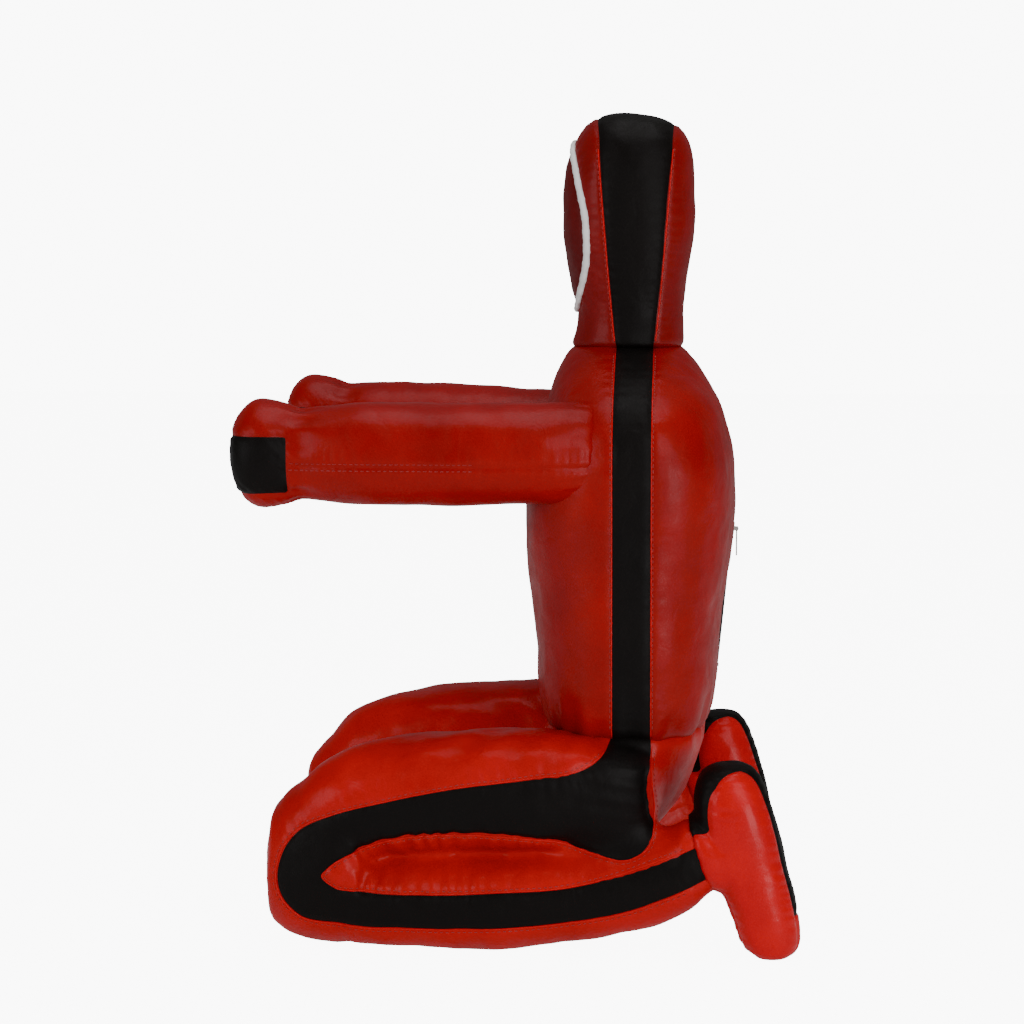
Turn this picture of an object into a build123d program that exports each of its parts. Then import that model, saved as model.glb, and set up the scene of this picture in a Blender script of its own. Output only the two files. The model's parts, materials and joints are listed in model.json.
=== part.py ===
"""A kneeling grappling dummy: sewn leather panels packed with textile filling.

The figure sits on its heels facing -Y, with both arms held straight forward. Each section is a leather
cover cut into its sewn panels, round a solid of filling. The neck, waist, shoulders and ankles bend, and a
slide fastener in the lower back closes the hole that it is filled through.
Millimetres, +Z up, origin on the floor under the middle of the figure.
"""
import os
from math import cos, radians, sin, tan

from build123d import *

# ---- clearances and leather -------------------------------------------------------------------------
COVER = 2.0             # leather with its bonded lining
FILL_GAP = 0.3          # between filling and cover
RUN_GAP = 1.2           # between a moving ball or plug and its socket
SPLIT_GAP = 0.6         # between two bodies where they meet in a plane through a hinge

# ---- the figure's axis ------------------------------------------------------------------------------
SPINE_Y = 132.0         # how far behind the origin the trunk's axis stands
BAND_Y = 139.5          # middle of the black side band
BAND_WIDTH = 45.5

# ---- head -------------------------------------------------------------------------------------------
HEAD_HEIGHT = 287.0     # neck seam to crown
HEAD_WIDTH = 182.0
HEAD_DEPTH = 162.0
NECK_WIDTH = 138.0
NECK_DEPTH = 136.0
CROWN_BAND_WIDTH = 96.0  # the side band is this wide where it crosses the crown
FACE_HEIGHT = 204.0
FACE_WIDTH = 150.0
FACE_CENTRE = 149.0     # above the neck seam
PIPING_WIDTH = 9.0
PIPING_PROUD = 2.0

# ---- torso ------------------------------------------------------------------------------------------
WAIST_Z = 250.0
TORSO_HEIGHT = 471.0    # waist seam to neck seam
SHOULDER_WIDTH = 430.0
CHEST_DEPTH = 260.0
WAIST_WIDTH = 350.0
WAIST_DEPTH = 196.0
NECK_Z = WAIST_Z + TORSO_HEIGHT

# ---- hinges of the trunk ----------------------------------------------------------------------------
NECK_PLUG_RADIUS = 50.0
NECK_PLUG_LENGTH = 96.0
NECK_OPENING = 9.5      # half-angle of the room at the front and back of the neck, in degrees
WAIST_PLUG_RADIUS = 60.0
WAIST_PLUG_LENGTH = 230.0
WAIST_OPENING = 4.6
LAP_Y = 0.0             # the room at the waist ends here, in front of the torso

# ---- arms -------------------------------------------------------------------------------------------
SHOULDER_X = 165.0
SHOULDER_Y = 42.0
SHOULDER_Z = 595.0
SHOULDER_BALL = 70.0
ARM_ROOT_RADIUS = 57.0
ARM_RADIUS = 61.5
WRIST_RADIUS = 56.5
FIST_RADIUS = 63.5
FIST_CORNER = 38.0
ARM_LENGTH = 385.0      # shoulder centre to knuckles
FIST_LENGTH = 112.0     # wrist to knuckles
PATCH_LENGTH = 70.0     # black patch, back from the knuckles
PATCH_HEIGHT = 70.0
PATCH_DROP = 10.0       # middle of the patch under the arm's axis
ARM_RAISE = {"left": 0.0, "right": 3.0}  # degrees above level at rest

# ---- legs -------------------------------------------------------------------------------------------
LEG_X = 165.0
LEG_WIDTH = 150.0
LEG_EDGE = 48.0         # radius of its long edges
KNEE_RADIUS = 108.5
KNEE_FRONT_Y = -304.0
# Rounds of the folded leg in side view: y, z, radius. Knee and thigh rest on the floor.
LEG_ROUNDS = [
    (KNEE_FRONT_Y + KNEE_RADIUS, KNEE_RADIUS, KNEE_RADIUS),
    (-40.0, 128.5, 128.5),
    (110.0, 150.0, 86.0),
    (80.0, 70.0, 62.0),
    (168.0, 98.0, 54.0),
]
CROTCH_WIDTH = 170.0    # the two middle panels of the seat, between the legs' panels
STRIPE_OUT = 0.0        # the stripe's inner side lies this far outside the leg's middle

# ---- feet -------------------------------------------------------------------------------------------
ANKLE_X = 190.0
ANKLE_Y = 235.0
ANKLE_Z = 118.0
ANKLE_BALL = 40.0
FOOT_WIDTH = 100.0
HEEL_RADIUS = 40.0
HEEL_Y = 262.0
HEEL_Z = 190.0
TOE_RADIUS = 37.0
TOE_Y = 304.0
TOE_Z = 37.0
FOOT_EDGE = 24.0
STRIP_WIDTH = 60.0      # the strip round the foot, between its two side panels
SOLE_END_Z = 52.0       # the black strip stops here, above the toe

# ---- slide fastener ---------------------------------------------------------------------------------
ZIP_LENGTH = 180.0
ZIP_LOW_Z = 322.0
ZIP_OPENING = 15.0
TAPE_WIDTH = 34.0
TAPE_THICKNESS = 1.2
CHAIN_WIDTH = 6.0
CORD_WIDTH = 2.4        # the sewing cord that carries the teeth
CORD_HEIGHT = 1.4
TOOTH_HEIGHT = 2.0
TOOTH_PITCH = 4.5
TOOTH_NOTCH = 1.0
STOP_LENGTH = 4.0
SLIDER_LENGTH = 15.0
SLIDER_WIDTH = 11.0
SLIDER_WALL = 1.6
SLIDER_GAP = 0.4
EAR_THICKNESS = 1.6
EAR_LENGTH = 5.0
EAR_RIM = 0.8           # metal round the pin's hole
PIN_RADIUS = 1.1
PULL_GAP = 0.35
PULL_LENGTH = 34.0
PULL_WIDTH = 8.0
PULL_THICKNESS = 1.8
PULL_EYE_WALL = 1.1
PULL_EYE_WIDTH = 4.0
PULL_NECK = 1.4         # keeps the pull's shoulders clear of the slider's ears

FAR = 600.0             # longer than any section of the figure
SIDES = {"left": 1, "right": -1}

os.makedirs("parts", exist_ok=True)


def save(part, name):
    """Writes one finished piece as the node of that name."""
    part.label = name
    export_step(part, f"parts/{name}.step")


def both(part, other, mode):
    """One part after another is joined to, cut from or intersected with it."""
    with BuildPart(mode=Mode.PRIVATE) as result:
        add(part)
        add(other, mode=mode)
    return result.part


def cut(part, *others):
    for other in others:
        part = both(part, other, Mode.SUBTRACT)
    return part


def whole(part):
    """The panel without any scrap that its cuts left apart from it."""
    return max(part.solids(), key=lambda solid: solid.volume)


def within(part, other):
    return both(part, other, Mode.INTERSECT)


def block(low, high):
    """A box between two corners."""
    size = [b - a for a, b in zip(low, high)]
    middle = [(a + b) / 2 for a, b in zip(low, high)]
    with BuildPart(Plane(origin=middle), mode=Mode.PRIVATE) as made:
        Box(*size)
    return made.part


def slab(y_low=-FAR, y_high=FAR, z_low=-FAR, z_high=2 * FAR, x_low=-FAR, x_high=FAR):
    """A box that is only limited on the sides that are given."""
    return block((x_low, y_low, z_low), (x_high, y_high, z_high))


def half_space(side):
    """Everything on one side of the figure's middle plane."""
    return slab(x_low=0) if side > 0 else slab(x_high=0)


def ball(centre, radius):
    with BuildPart(Plane(origin=centre), mode=Mode.PRIVATE) as made:
        Sphere(radius)
    return made.part


def hinge_plug(y, z, radius, length):
    """A cylinder along X, in which or on which a section of the trunk turns."""
    with BuildPart(Plane(origin=(0, y, z), x_dir=(0, 1, 0), z_dir=(1, 0, 0)), mode=Mode.PRIVATE) as made:
        Cylinder(radius, length)
    return made.part


def hinge_room(y, z, half_angle):
    """A bow-tie prism along X: the room that two sections need to tip towards each other."""
    rise = FAR * tan(radians(half_angle))
    half = SPLIT_GAP / 2
    with BuildPart(mode=Mode.PRIVATE) as made:
        with BuildSketch(Plane.YZ):
            with Locations((y, z)):
                Polygon((0, half), (FAR, rise), (FAR, -rise), (0, -half), align=None)
                Polygon((0, half), (0, -half), (-FAR, -rise), (-FAR, rise), align=None)
        extrude(amount=FAR, both=True)
    return made.part


# ---- section shapes, each with an inset for the next layer in -----------------------------------------
# Each row of a section table: share of the height, width, depth, and how far behind the trunk's axis its
# middle lies.
TORSO_ROWS = [
    (0.000, WAIST_WIDTH, WAIST_DEPTH, 0.0),
    (0.106, WAIST_WIDTH + 18, WAIST_DEPTH + 29, -2.5),
    (0.318, WAIST_WIDTH + 42, WAIST_DEPTH + 43, 0.6),
    (0.531, SHOULDER_WIDTH - 16, CHEST_DEPTH, 0.0),
    (0.701, SHOULDER_WIDTH, CHEST_DEPTH - 8, 5.5),
    (0.824, SHOULDER_WIDTH - 24, CHEST_DEPTH - 42, 6.0),
    (0.910, SHOULDER_WIDTH - 118, CHEST_DEPTH - 72, 0.5),
    (0.965, NECK_WIDTH + 62, NECK_DEPTH + 16, -2.0),
    (1.000, NECK_WIDTH, NECK_DEPTH, -3.0),
]
HEAD_ROWS = [
    (0.000, NECK_WIDTH, NECK_DEPTH, -3.0),
    (0.115, NECK_WIDTH + 2, NECK_DEPTH - 2, -1.0),
    (0.350, HEAD_WIDTH - 16, HEAD_DEPTH - 12, 0.5),
    (0.590, HEAD_WIDTH, HEAD_DEPTH, -1.0),
    (0.780, HEAD_WIDTH - 6, HEAD_DEPTH - 4, 0.0),
    (0.900, HEAD_WIDTH - 36, HEAD_DEPTH - 32, 1.0),
    (0.970, HEAD_WIDTH - 84, HEAD_DEPTH - 66, 2.0),
    (1.000, HEAD_WIDTH - 128, HEAD_DEPTH - 104, 2.0),
]
PELVIS_DEPTHS = [(0.0, 0.0, 0.0, 0.0), (-50.0, 14.0, -14.0, -10.0), (-100.0, 20.0, -30.0, -18.0),
                 (-138.0, 0.0, -46.0, -22.0)]
CORNER_SHARE = 0.44     # corner radius over depth


def stack(rows, base, height, inset, closed_top):
    """Lofts rounded rectangles up the trunk, with every side moved in by the inset."""
    squeeze = (height - inset) / height if closed_top else 1.0
    with BuildPart(mode=Mode.PRIVATE) as made:
        for share, width, depth, offset in rows:
            with BuildSketch(Plane.XY.offset(base + share * height * squeeze)):
                with Locations((0, SPINE_Y + offset)):
                    corner = min(width, depth) * CORNER_SHARE - inset
                    RectangleRounded(width - 2 * inset, depth - 2 * inset, corner)
        loft(ruled=True)
    return made.part


def torso_shape(inset):
    return stack(TORSO_ROWS, WAIST_Z, TORSO_HEIGHT, inset, False)


def head_shape(inset):
    return stack(HEAD_ROWS, NECK_Z, HEAD_HEIGHT, inset, True)


def pelvis_shape(inset):
    squeeze = 1 + inset / PELVIS_DEPTHS[-1][0]
    with BuildPart(mode=Mode.PRIVATE) as made:
        for drop, wider, deeper, offset in PELVIS_DEPTHS:
            width = WAIST_WIDTH + wider - 2 * inset
            depth = WAIST_DEPTH + deeper - 2 * inset
            with BuildSketch(Plane.XY.offset(WAIST_Z + drop * squeeze)):
                with Locations((0, SPINE_Y + offset)):
                    RectangleRounded(width, depth, depth * CORNER_SHARE)
        loft(ruled=True)
    return made.part


def leg_shape(side, inset):
    """One folded leg, thigh on calf: the hull of the rounds in its side view, with rounded sides."""
    half = LEG_WIDTH / 2 - inset
    with BuildPart(mode=Mode.PRIVATE) as made:
        with BuildSketch(Plane.YZ.offset(side * LEG_X - half)):
            for y, z, radius in LEG_ROUNDS:
                with Locations((y, z)):
                    Circle(radius - inset)
            make_hull()
        extrude(amount=2 * half)
        ends = made.edges().filter_by(lambda e: abs(abs(e.center().X - side * LEG_X) - half) < 0.01)
        fillet(ends, LEG_EDGE - inset)
    return made.part


def lower_shape(inset):
    """Pelvis and both legs."""
    with BuildPart(mode=Mode.PRIVATE) as made:
        add(pelvis_shape(inset))
        for side in SIDES.values():
            add(leg_shape(side, inset))
    return made.part


def arm_shape(name, inset):
    """One arm from its shoulder to its knuckles, turned about its own axis."""
    raised = radians(ARM_RAISE[name])
    along = Vector(0, -cos(raised), sin(raised))
    root = (SIDES[name] * SHOULDER_X, SHOULDER_Y, SHOULDER_Z)
    length = ARM_LENGTH - inset
    wrist = ARM_LENGTH - FIST_LENGTH
    fist = FIST_RADIUS - inset
    corner = FIST_CORNER - inset
    with BuildPart(mode=Mode.PRIVATE) as made:
        with BuildSketch(Plane(origin=root, x_dir=along, z_dir=(1, 0, 0))):
            with BuildLine():
                side_line = Spline(
                    (0, ARM_ROOT_RADIUS - inset),
                    (wrist * 0.6, ARM_RADIUS - inset),
                    (wrist, WRIST_RADIUS - inset),
                    (length - corner, fist),
                    tangents=((1, 0), (1, 0)),
                )
                knuckles = TangentArc(side_line @ 1, (length, fist - corner), tangent=(1, 0))
                face = Line(knuckles @ 1, (length, 0))
                axis_line = Line(face @ 1, (0, 0))
                Line(axis_line @ 1, side_line @ 0)
            make_face()
        revolve(axis=Axis(root, along))
    return made.part


def foot_shape(side, inset):
    """One foot standing on its toes: two rounds in line, their hull, and rounded edges."""
    half = FOOT_WIDTH / 2 - inset
    with BuildPart(mode=Mode.PRIVATE) as made:
        with BuildSketch(Plane.YZ.offset(side * ANKLE_X - half)):
            with Locations((HEEL_Y, HEEL_Z)):
                Circle(HEEL_RADIUS - inset)
            with Locations((TOE_Y, TOE_Z)):
                Circle(TOE_RADIUS - inset)
            make_hull()
        extrude(amount=2 * half)
        edges = made.edges().filter_by(lambda e: abs(abs(e.center().X - side * ANKLE_X) - half) < 0.01)
        fillet(edges, FOOT_EDGE - inset)
    return made.part


def shell(shape, *args):
    """The cover of a section: its outer shape less the same shape one leather's thickness in."""
    return cut(shape(*args, 0.0), shape(*args, COVER))


def filling(shape, *args):
    return shape(*args, COVER + FILL_GAP)


# ---- head -------------------------------------------------------------------------------------------
neck_room = hinge_room(SPINE_Y - 3, NECK_Z, NECK_OPENING)
neck_plug = hinge_plug(SPINE_Y - 3, NECK_Z, NECK_PLUG_RADIUS, NECK_PLUG_LENGTH)
neck_socket = hinge_plug(SPINE_Y - 3, NECK_Z, NECK_PLUG_RADIUS + RUN_GAP, NECK_PLUG_LENGTH + 2 * RUN_GAP)

with BuildPart() as head_fill:
    add(filling(head_shape))
    add(neck_room, mode=Mode.SUBTRACT)
    add(neck_plug)
save(head_fill.part, "head_fill")


def face_prism(width, height):
    """An elliptical prism through the front of the head."""
    with BuildPart(mode=Mode.PRIVATE) as made:
        with BuildSketch(Plane.XZ.offset(-SPINE_Y)):
            with Locations((0, NECK_Z + FACE_CENTRE)):
                Ellipse(width / 2, height / 2)
        extrude(amount=FAR)
    return made.part


def crown_band_prism():
    """The tapered band that runs up the sides of the head and over its crown."""
    neck, crown = BAND_WIDTH / 2, CROWN_BAND_WIDTH / 2
    top = HEAD_HEIGHT + 20
    with BuildPart(mode=Mode.PRIVATE) as made:
        with BuildSketch(Plane.YZ):
            with Locations((BAND_Y, NECK_Z)):
                Polygon((-neck, -40), (neck, -40), (neck, 20), (crown, 0.8 * HEAD_HEIGHT), (crown, top),
                        (-crown, top), (-crown, 0.8 * HEAD_HEIGHT), (-neck, 20), align=None)
        extrude(amount=FAR, both=True)
    return made.part


head_cover = cut(shell(head_shape), neck_room)
face_hole = face_prism(FACE_WIDTH, FACE_HEIGHT)
crown_band = crown_band_prism()
piping_hole = face_prism(FACE_WIDTH + 2 * PIPING_WIDTH, FACE_HEIGHT + 2 * PIPING_WIDTH)

with BuildPart() as head_face_panel:
    add(head_cover)
    add(face_hole, mode=Mode.INTERSECT)
save(head_face_panel.part, "head_face_panel")

with BuildPart() as head_face_piping:
    add(head_shape(-PIPING_PROUD))
    add(head_shape(COVER), mode=Mode.SUBTRACT)
    add(piping_hole, mode=Mode.INTERSECT)
    add(face_hole, mode=Mode.SUBTRACT)
save(head_face_piping.part, "head_face_piping")

with BuildPart() as head_crown_band:
    add(head_cover)
    add(crown_band, mode=Mode.INTERSECT)
    add(piping_hole, mode=Mode.SUBTRACT)
save(head_crown_band.part, "head_crown_band")

with BuildPart() as head_front_panel:
    add(head_cover)
    add(slab(y_high=BAND_Y), mode=Mode.INTERSECT)
    add(crown_band, mode=Mode.SUBTRACT)
    add(piping_hole, mode=Mode.SUBTRACT)
save(head_front_panel.part, "head_front_panel")

with BuildPart() as head_back_panel:
    add(head_cover)
    add(slab(y_low=BAND_Y), mode=Mode.INTERSECT)
    add(crown_band, mode=Mode.SUBTRACT)
save(head_back_panel.part, "head_back_panel")

# ---- torso ------------------------------------------------------------------------------------------
waist_room = within(hinge_room(SPINE_Y, WAIST_Z, WAIST_OPENING), slab(y_low=LAP_Y))
waist_plug = hinge_plug(SPINE_Y, WAIST_Z, WAIST_PLUG_RADIUS, WAIST_PLUG_LENGTH)
waist_socket = hinge_plug(SPINE_Y, WAIST_Z, WAIST_PLUG_RADIUS + RUN_GAP, WAIST_PLUG_LENGTH + 2 * RUN_GAP)


def armhole(side):
    """The socket of a shoulder: a ball, open all the way forward."""
    radius = SHOULDER_BALL + RUN_GAP
    with BuildPart(mode=Mode.PRIVATE) as made:
        add(ball((side * SHOULDER_X, SHOULDER_Y, SHOULDER_Z), radius))
        with BuildSketch(Plane(origin=(side * SHOULDER_X, SHOULDER_Y, SHOULDER_Z), z_dir=(0, -1, 0))):
            Circle(radius)
        extrude(amount=FAR)
    return made.part


armholes = [armhole(side) for side in SIDES.values()]
torso_cuts = [neck_room, waist_room, *armholes]

# The fastener lies in a plane that leans with the lower back.
low_row, high_row = TORSO_ROWS[1], TORSO_ROWS[3]
back_low = SPINE_Y + low_row[3] + low_row[2] / 2
back_high = SPINE_Y + high_row[3] + high_row[2] / 2
back_rise = (high_row[0] - low_row[0]) * TORSO_HEIGHT
back_slope = (back_high - back_low) / back_rise
lean = Vector(0, back_slope, 1).normalized()
outward = Vector(0, 1, -back_slope).normalized()
zip_middle_z = ZIP_LOW_Z + ZIP_LENGTH / 2
zip_middle_y = back_low + (zip_middle_z - WAIST_Z - low_row[0] * TORSO_HEIGHT) * back_slope
zip_origin = Vector(0, zip_middle_y, zip_middle_z)
# Heights above the leather's outer face, going out from the tape.
tape_top = -COVER - 1.0
cord_top = tape_top + CORD_HEIGHT
tooth_top = cord_top + TOOTH_HEIGHT
plate_low = tooth_top + SLIDER_GAP
plate_top = plate_low + SLIDER_WALL
pull_eye_radius = PIN_RADIUS + PULL_GAP + PULL_EYE_WALL
pin_height = plate_top + PULL_GAP + pull_eye_radius


def zip_plane(height, along=0.0):
    """A plane that faces out of the back, a height above the leather and some way up the fastener."""
    return Plane(origin=zip_origin + outward * height + lean * along, x_dir=(-1, 0, 0), z_dir=outward)


def zip_block(width, length, low, high, along=0.0, aside=0.0):
    """A block on the fastener's plane, between two heights above the leather."""
    with BuildPart(mode=Mode.PRIVATE) as made:
        with BuildSketch(zip_plane(low, along)):
            with Locations((aside, 0)):
                Rectangle(width, length)
        extrude(amount=high - low)
    return made.part


zip_hole = zip_block(ZIP_OPENING, ZIP_LENGTH + 2 * STOP_LENGTH + 4, tape_top - 20, 20)
tape_room = zip_block(TAPE_WIDTH + 1, ZIP_LENGTH + 21, tape_top - TAPE_THICKNESS - FILL_GAP, 5)

with BuildPart() as torso_fill:
    add(filling(torso_shape))
    for shape in torso_cuts:
        add(shape, mode=Mode.SUBTRACT)
    add(neck_socket, mode=Mode.SUBTRACT)
    add(tape_room, mode=Mode.SUBTRACT)
    add(waist_plug)
save(torso_fill.part, "torso_fill")

torso_cover = cut(shell(torso_shape), *torso_cuts)
band_low, band_high = BAND_Y - BAND_WIDTH / 2, BAND_Y + BAND_WIDTH / 2

with BuildPart() as torso_front_panel:
    add(torso_cover)
    add(slab(y_high=band_low), mode=Mode.INTERSECT)
save(torso_front_panel.part, "torso_front_panel")

with BuildPart() as torso_back_panel:
    add(torso_cover)
    add(slab(y_low=band_high), mode=Mode.INTERSECT)
    add(zip_hole, mode=Mode.SUBTRACT)
save(torso_back_panel.part, "torso_back_panel")

for name, side in SIDES.items():
    with BuildPart() as torso_side_band:
        add(torso_cover)
        add(slab(y_low=band_low, y_high=band_high), mode=Mode.INTERSECT)
        add(half_space(side), mode=Mode.INTERSECT)
    save(torso_side_band.part, f"torso_{name}_side_band")

# ---- slide fastener ---------------------------------------------------------------------------------
save(zip_block(TAPE_WIDTH, ZIP_LENGTH + 20, tape_top - TAPE_THICKNESS, tape_top), "back_zip_tape")

with BuildPart() as back_zip_chain:
    add(zip_block(CORD_WIDTH, ZIP_LENGTH, tape_top, cord_top))
    add(zip_block(CHAIN_WIDTH, ZIP_LENGTH, cord_top, tooth_top))
    with BuildSketch(zip_plane(cord_top + TOOTH_HEIGHT / 2)):
        with GridLocations(CHAIN_WIDTH, TOOTH_PITCH, 2, int(ZIP_LENGTH / TOOTH_PITCH) - 1):
            Rectangle(CHAIN_WIDTH / 2, TOOTH_NOTCH)
    extrude(amount=TOOTH_HEIGHT, mode=Mode.SUBTRACT)
save(back_zip_chain.part, "back_zip_chain")

stop_along = (ZIP_LENGTH + STOP_LENGTH) / 2
save(zip_block(CHAIN_WIDTH, STOP_LENGTH, tape_top, tooth_top + 1, stop_along), "back_zip_top_stop")
save(zip_block(CHAIN_WIDTH, STOP_LENGTH, tape_top, tooth_top + 1, -stop_along), "back_zip_bottom_stop")

# The closed slider stands against the top stop.
slider_along = (ZIP_LENGTH - SLIDER_LENGTH) / 2 - SLIDER_GAP
slider_room = CHAIN_WIDTH + 2 * SLIDER_GAP
ear_aside = (PULL_EYE_WIDTH + EAR_THICKNESS) / 2 + PULL_GAP

with BuildPart() as back_zip_slider:
    add(zip_block(SLIDER_WIDTH, SLIDER_LENGTH, tape_top + SLIDER_GAP, plate_top, slider_along))
    add(zip_block(slider_room, SLIDER_LENGTH, cord_top - SLIDER_GAP, plate_low, slider_along),
        mode=Mode.SUBTRACT)
    add(zip_block(CORD_WIDTH + 2 * SLIDER_GAP, SLIDER_LENGTH, tape_top, plate_low, slider_along),
        mode=Mode.SUBTRACT)
    for aside in (-ear_aside, ear_aside):
        ear_height = pin_height + PIN_RADIUS + EAR_RIM
        add(zip_block(EAR_THICKNESS, EAR_LENGTH, plate_top - 0.1, ear_height, slider_along, aside))
    with BuildSketch(Plane(zip_plane(pin_height, slider_along).origin, x_dir=lean, z_dir=(1, 0, 0))):
        Circle(PIN_RADIUS)
    extrude(amount=FAR, both=True, mode=Mode.SUBTRACT)
save(back_zip_slider.part, "back_zip_slider")

pin_length = 2 * ear_aside + EAR_THICKNESS
pin_centre = zip_plane(pin_height, slider_along).origin

with BuildPart(Plane(pin_centre, x_dir=lean, z_dir=(1, 0, 0))) as back_zip_pin:
    Cylinder(PIN_RADIUS, pin_length)
save(back_zip_pin.part, "back_zip_pin")

# The pull hangs plumb from its pin.
with BuildPart() as back_zip_pull:
    with BuildSketch(Plane(pin_centre - Vector(0, 0, PULL_LENGTH / 2), x_dir=(-1, 0, 0), z_dir=(0, 1, 0))):
        RectangleRounded(PULL_WIDTH, PULL_LENGTH, PULL_WIDTH * 0.35)
        with Locations((0, -PULL_LENGTH / 2 + PULL_WIDTH * 0.6)):
            Circle(PULL_WIDTH * 0.22, mode=Mode.SUBTRACT)
        with Locations((0, PULL_LENGTH / 2)):
            Rectangle(2 * PULL_WIDTH, 2 * (pull_eye_radius + PULL_NECK), mode=Mode.SUBTRACT)
            Rectangle(PULL_EYE_WIDTH, 2 * (pull_eye_radius + PULL_NECK) + 2)
    extrude(amount=PULL_THICKNESS / 2, both=True)
    with BuildSketch(Plane(pin_centre - Vector(PULL_EYE_WIDTH / 2, 0, 0), z_dir=(1, 0, 0))):
        Circle(pull_eye_radius)
    extrude(amount=PULL_EYE_WIDTH)
    with BuildSketch(Plane(pin_centre, z_dir=(1, 0, 0))):
        Circle(PIN_RADIUS + PULL_GAP)
    extrude(amount=FAR, both=True, mode=Mode.SUBTRACT)
    add(slab(z_high=pin_centre.Z + pull_eye_radius), mode=Mode.INTERSECT)
save(back_zip_pull.part, "back_zip_pull")

# ---- shoulders and arms -----------------------------------------------------------------------------
for name, side in SIDES.items():
    centre = (side * SHOULDER_X, SHOULDER_Y, SHOULDER_Z)
    with BuildPart() as shoulder_fill:
        add(ball(centre, SHOULDER_BALL - COVER - FILL_GAP))
    save(shoulder_fill.part, f"{name}_shoulder_fill")

    with BuildPart() as shoulder_cover:
        add(ball(centre, SHOULDER_BALL))
        add(ball(centre, SHOULDER_BALL - COVER), mode=Mode.SUBTRACT)
    save(shoulder_cover.part, f"{name}_shoulder_cover")

    arm_socket = ball(centre, SHOULDER_BALL + SPLIT_GAP)
    with BuildPart() as arm_fill:
        add(arm_shape(name, COVER + FILL_GAP))
        add(arm_socket, mode=Mode.SUBTRACT)
    save(arm_fill.part, f"{name}_arm_fill")

    arm_cover = cut(arm_shape(name, 0.0), arm_shape(name, COVER), arm_socket)
    raised = radians(ARM_RAISE[name])
    seam_plane = Plane(centre, x_dir=(1, 0, 0), z_dir=(0, sin(raised), cos(raised)))
    knuckles_y = ARM_LENGTH - PATCH_LENGTH

    def arm_box(low, high, front):
        """A box along the arm, between two heights over its axis and from a distance down it."""
        with BuildPart(mode=Mode.PRIVATE) as made:
            with BuildSketch(seam_plane.offset(low)):
                with Locations((0, -front - FAR / 2)):
                    Rectangle(FAR, FAR)
            extrude(amount=high - low)
        return made.part

    patch_box = arm_box(-PATCH_DROP - PATCH_HEIGHT / 2, -PATCH_DROP + PATCH_HEIGHT / 2, knuckles_y)
    upper_box = arm_box(-PATCH_DROP, FAR, -100)

    with BuildPart() as hand_patch:
        add(arm_cover)
        add(patch_box, mode=Mode.INTERSECT)
    save(hand_patch.part, f"{name}_hand_patch")

    with BuildPart() as arm_upper_panel:
        add(arm_cover)
        add(upper_box, mode=Mode.INTERSECT)
        add(patch_box, mode=Mode.SUBTRACT)
    save(arm_upper_panel.part, f"{name}_arm_upper_panel")

    with BuildPart() as arm_lower_panel:
        add(arm_cover)
        add(upper_box, mode=Mode.SUBTRACT)
        add(patch_box, mode=Mode.SUBTRACT)
    save(arm_lower_panel.part, f"{name}_arm_lower_panel")

# ---- pelvis and legs --------------------------------------------------------------------------------
# The stripe follows the folded leg in a U: down over the hip, forward along the thigh, round the knee
# and back along the shin. Its edges are given as (y, z), from the waist to the ankle.
hip_y = BAND_Y - BAND_WIDTH / 2
OUTER_EDGE = [
    (hip_y, WAIST_Z + 20), (hip_y - 30, 226), (0, 213), (-100, 199), (-200, 174),
    (KNEE_FRONT_Y + 24, 124), (KNEE_FRONT_Y + 22, 72), (-225, 39), (-75, 34), (60, 43), (ANKLE_Y, 98),
]
INNER_EDGE = [
    (BAND_Y + BAND_WIDTH / 2, WAIST_Z + 20), (168, 180), (145, 124), (60, 137), (-75, 147),
    (-180, 128), (KNEE_FRONT_Y + 78, 97), (-180, 76), (-60, 74), (60, 84), (ANKLE_Y, 140),
]
MIDDLE_EDGE = [((a + c) / 2, (b + d) / 2) for (a, b), (c, d) in zip(OUTER_EDGE, INNER_EDGE)]


def loop_prism(edge):
    """Everything inside one edge of the stripe's U, closed far behind the figure."""
    with BuildPart(mode=Mode.PRIVATE) as made:
        with BuildSketch(Plane.YZ):
            with BuildLine():
                curve = Spline(*edge)
                behind = Polyline(curve @ 1, (FAR, edge[-1][1]), (FAR, edge[0][1]), curve @ 0)
            make_face()
        extrude(amount=FAR, both=True)
    return made.part


outer_loop, inner_loop, middle_loop = (loop_prism(edge) for edge in (OUTER_EDGE, INNER_EDGE, MIDDLE_EDGE))
middle_half = CROTCH_WIDTH / 2
lower_filling = cut(filling(lower_shape), waist_room, waist_socket)
lower_cover = cut(shell(lower_shape), waist_room)

with BuildPart() as pelvis_fill:
    add(lower_filling)
    add(slab(x_low=-middle_half, x_high=middle_half), mode=Mode.INTERSECT)
save(pelvis_fill.part, "pelvis_fill")

with BuildPart() as pelvis_front_panel:
    add(lower_cover)
    add(slab(x_low=-middle_half, x_high=middle_half, y_high=SPINE_Y - 20), mode=Mode.INTERSECT)
save(pelvis_front_panel.part, "pelvis_front_panel")

with BuildPart() as pelvis_seat_panel:
    add(lower_cover)
    add(slab(x_low=-middle_half, x_high=middle_half, y_low=SPINE_Y - 20), mode=Mode.INTERSECT)
save(pelvis_seat_panel.part, "pelvis_seat_panel")


def beyond(side, distance):
    """Everything further out than a distance from the middle, on one side of the figure."""
    return half_space(side).moved(Location((side * distance, 0, 0)))


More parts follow.
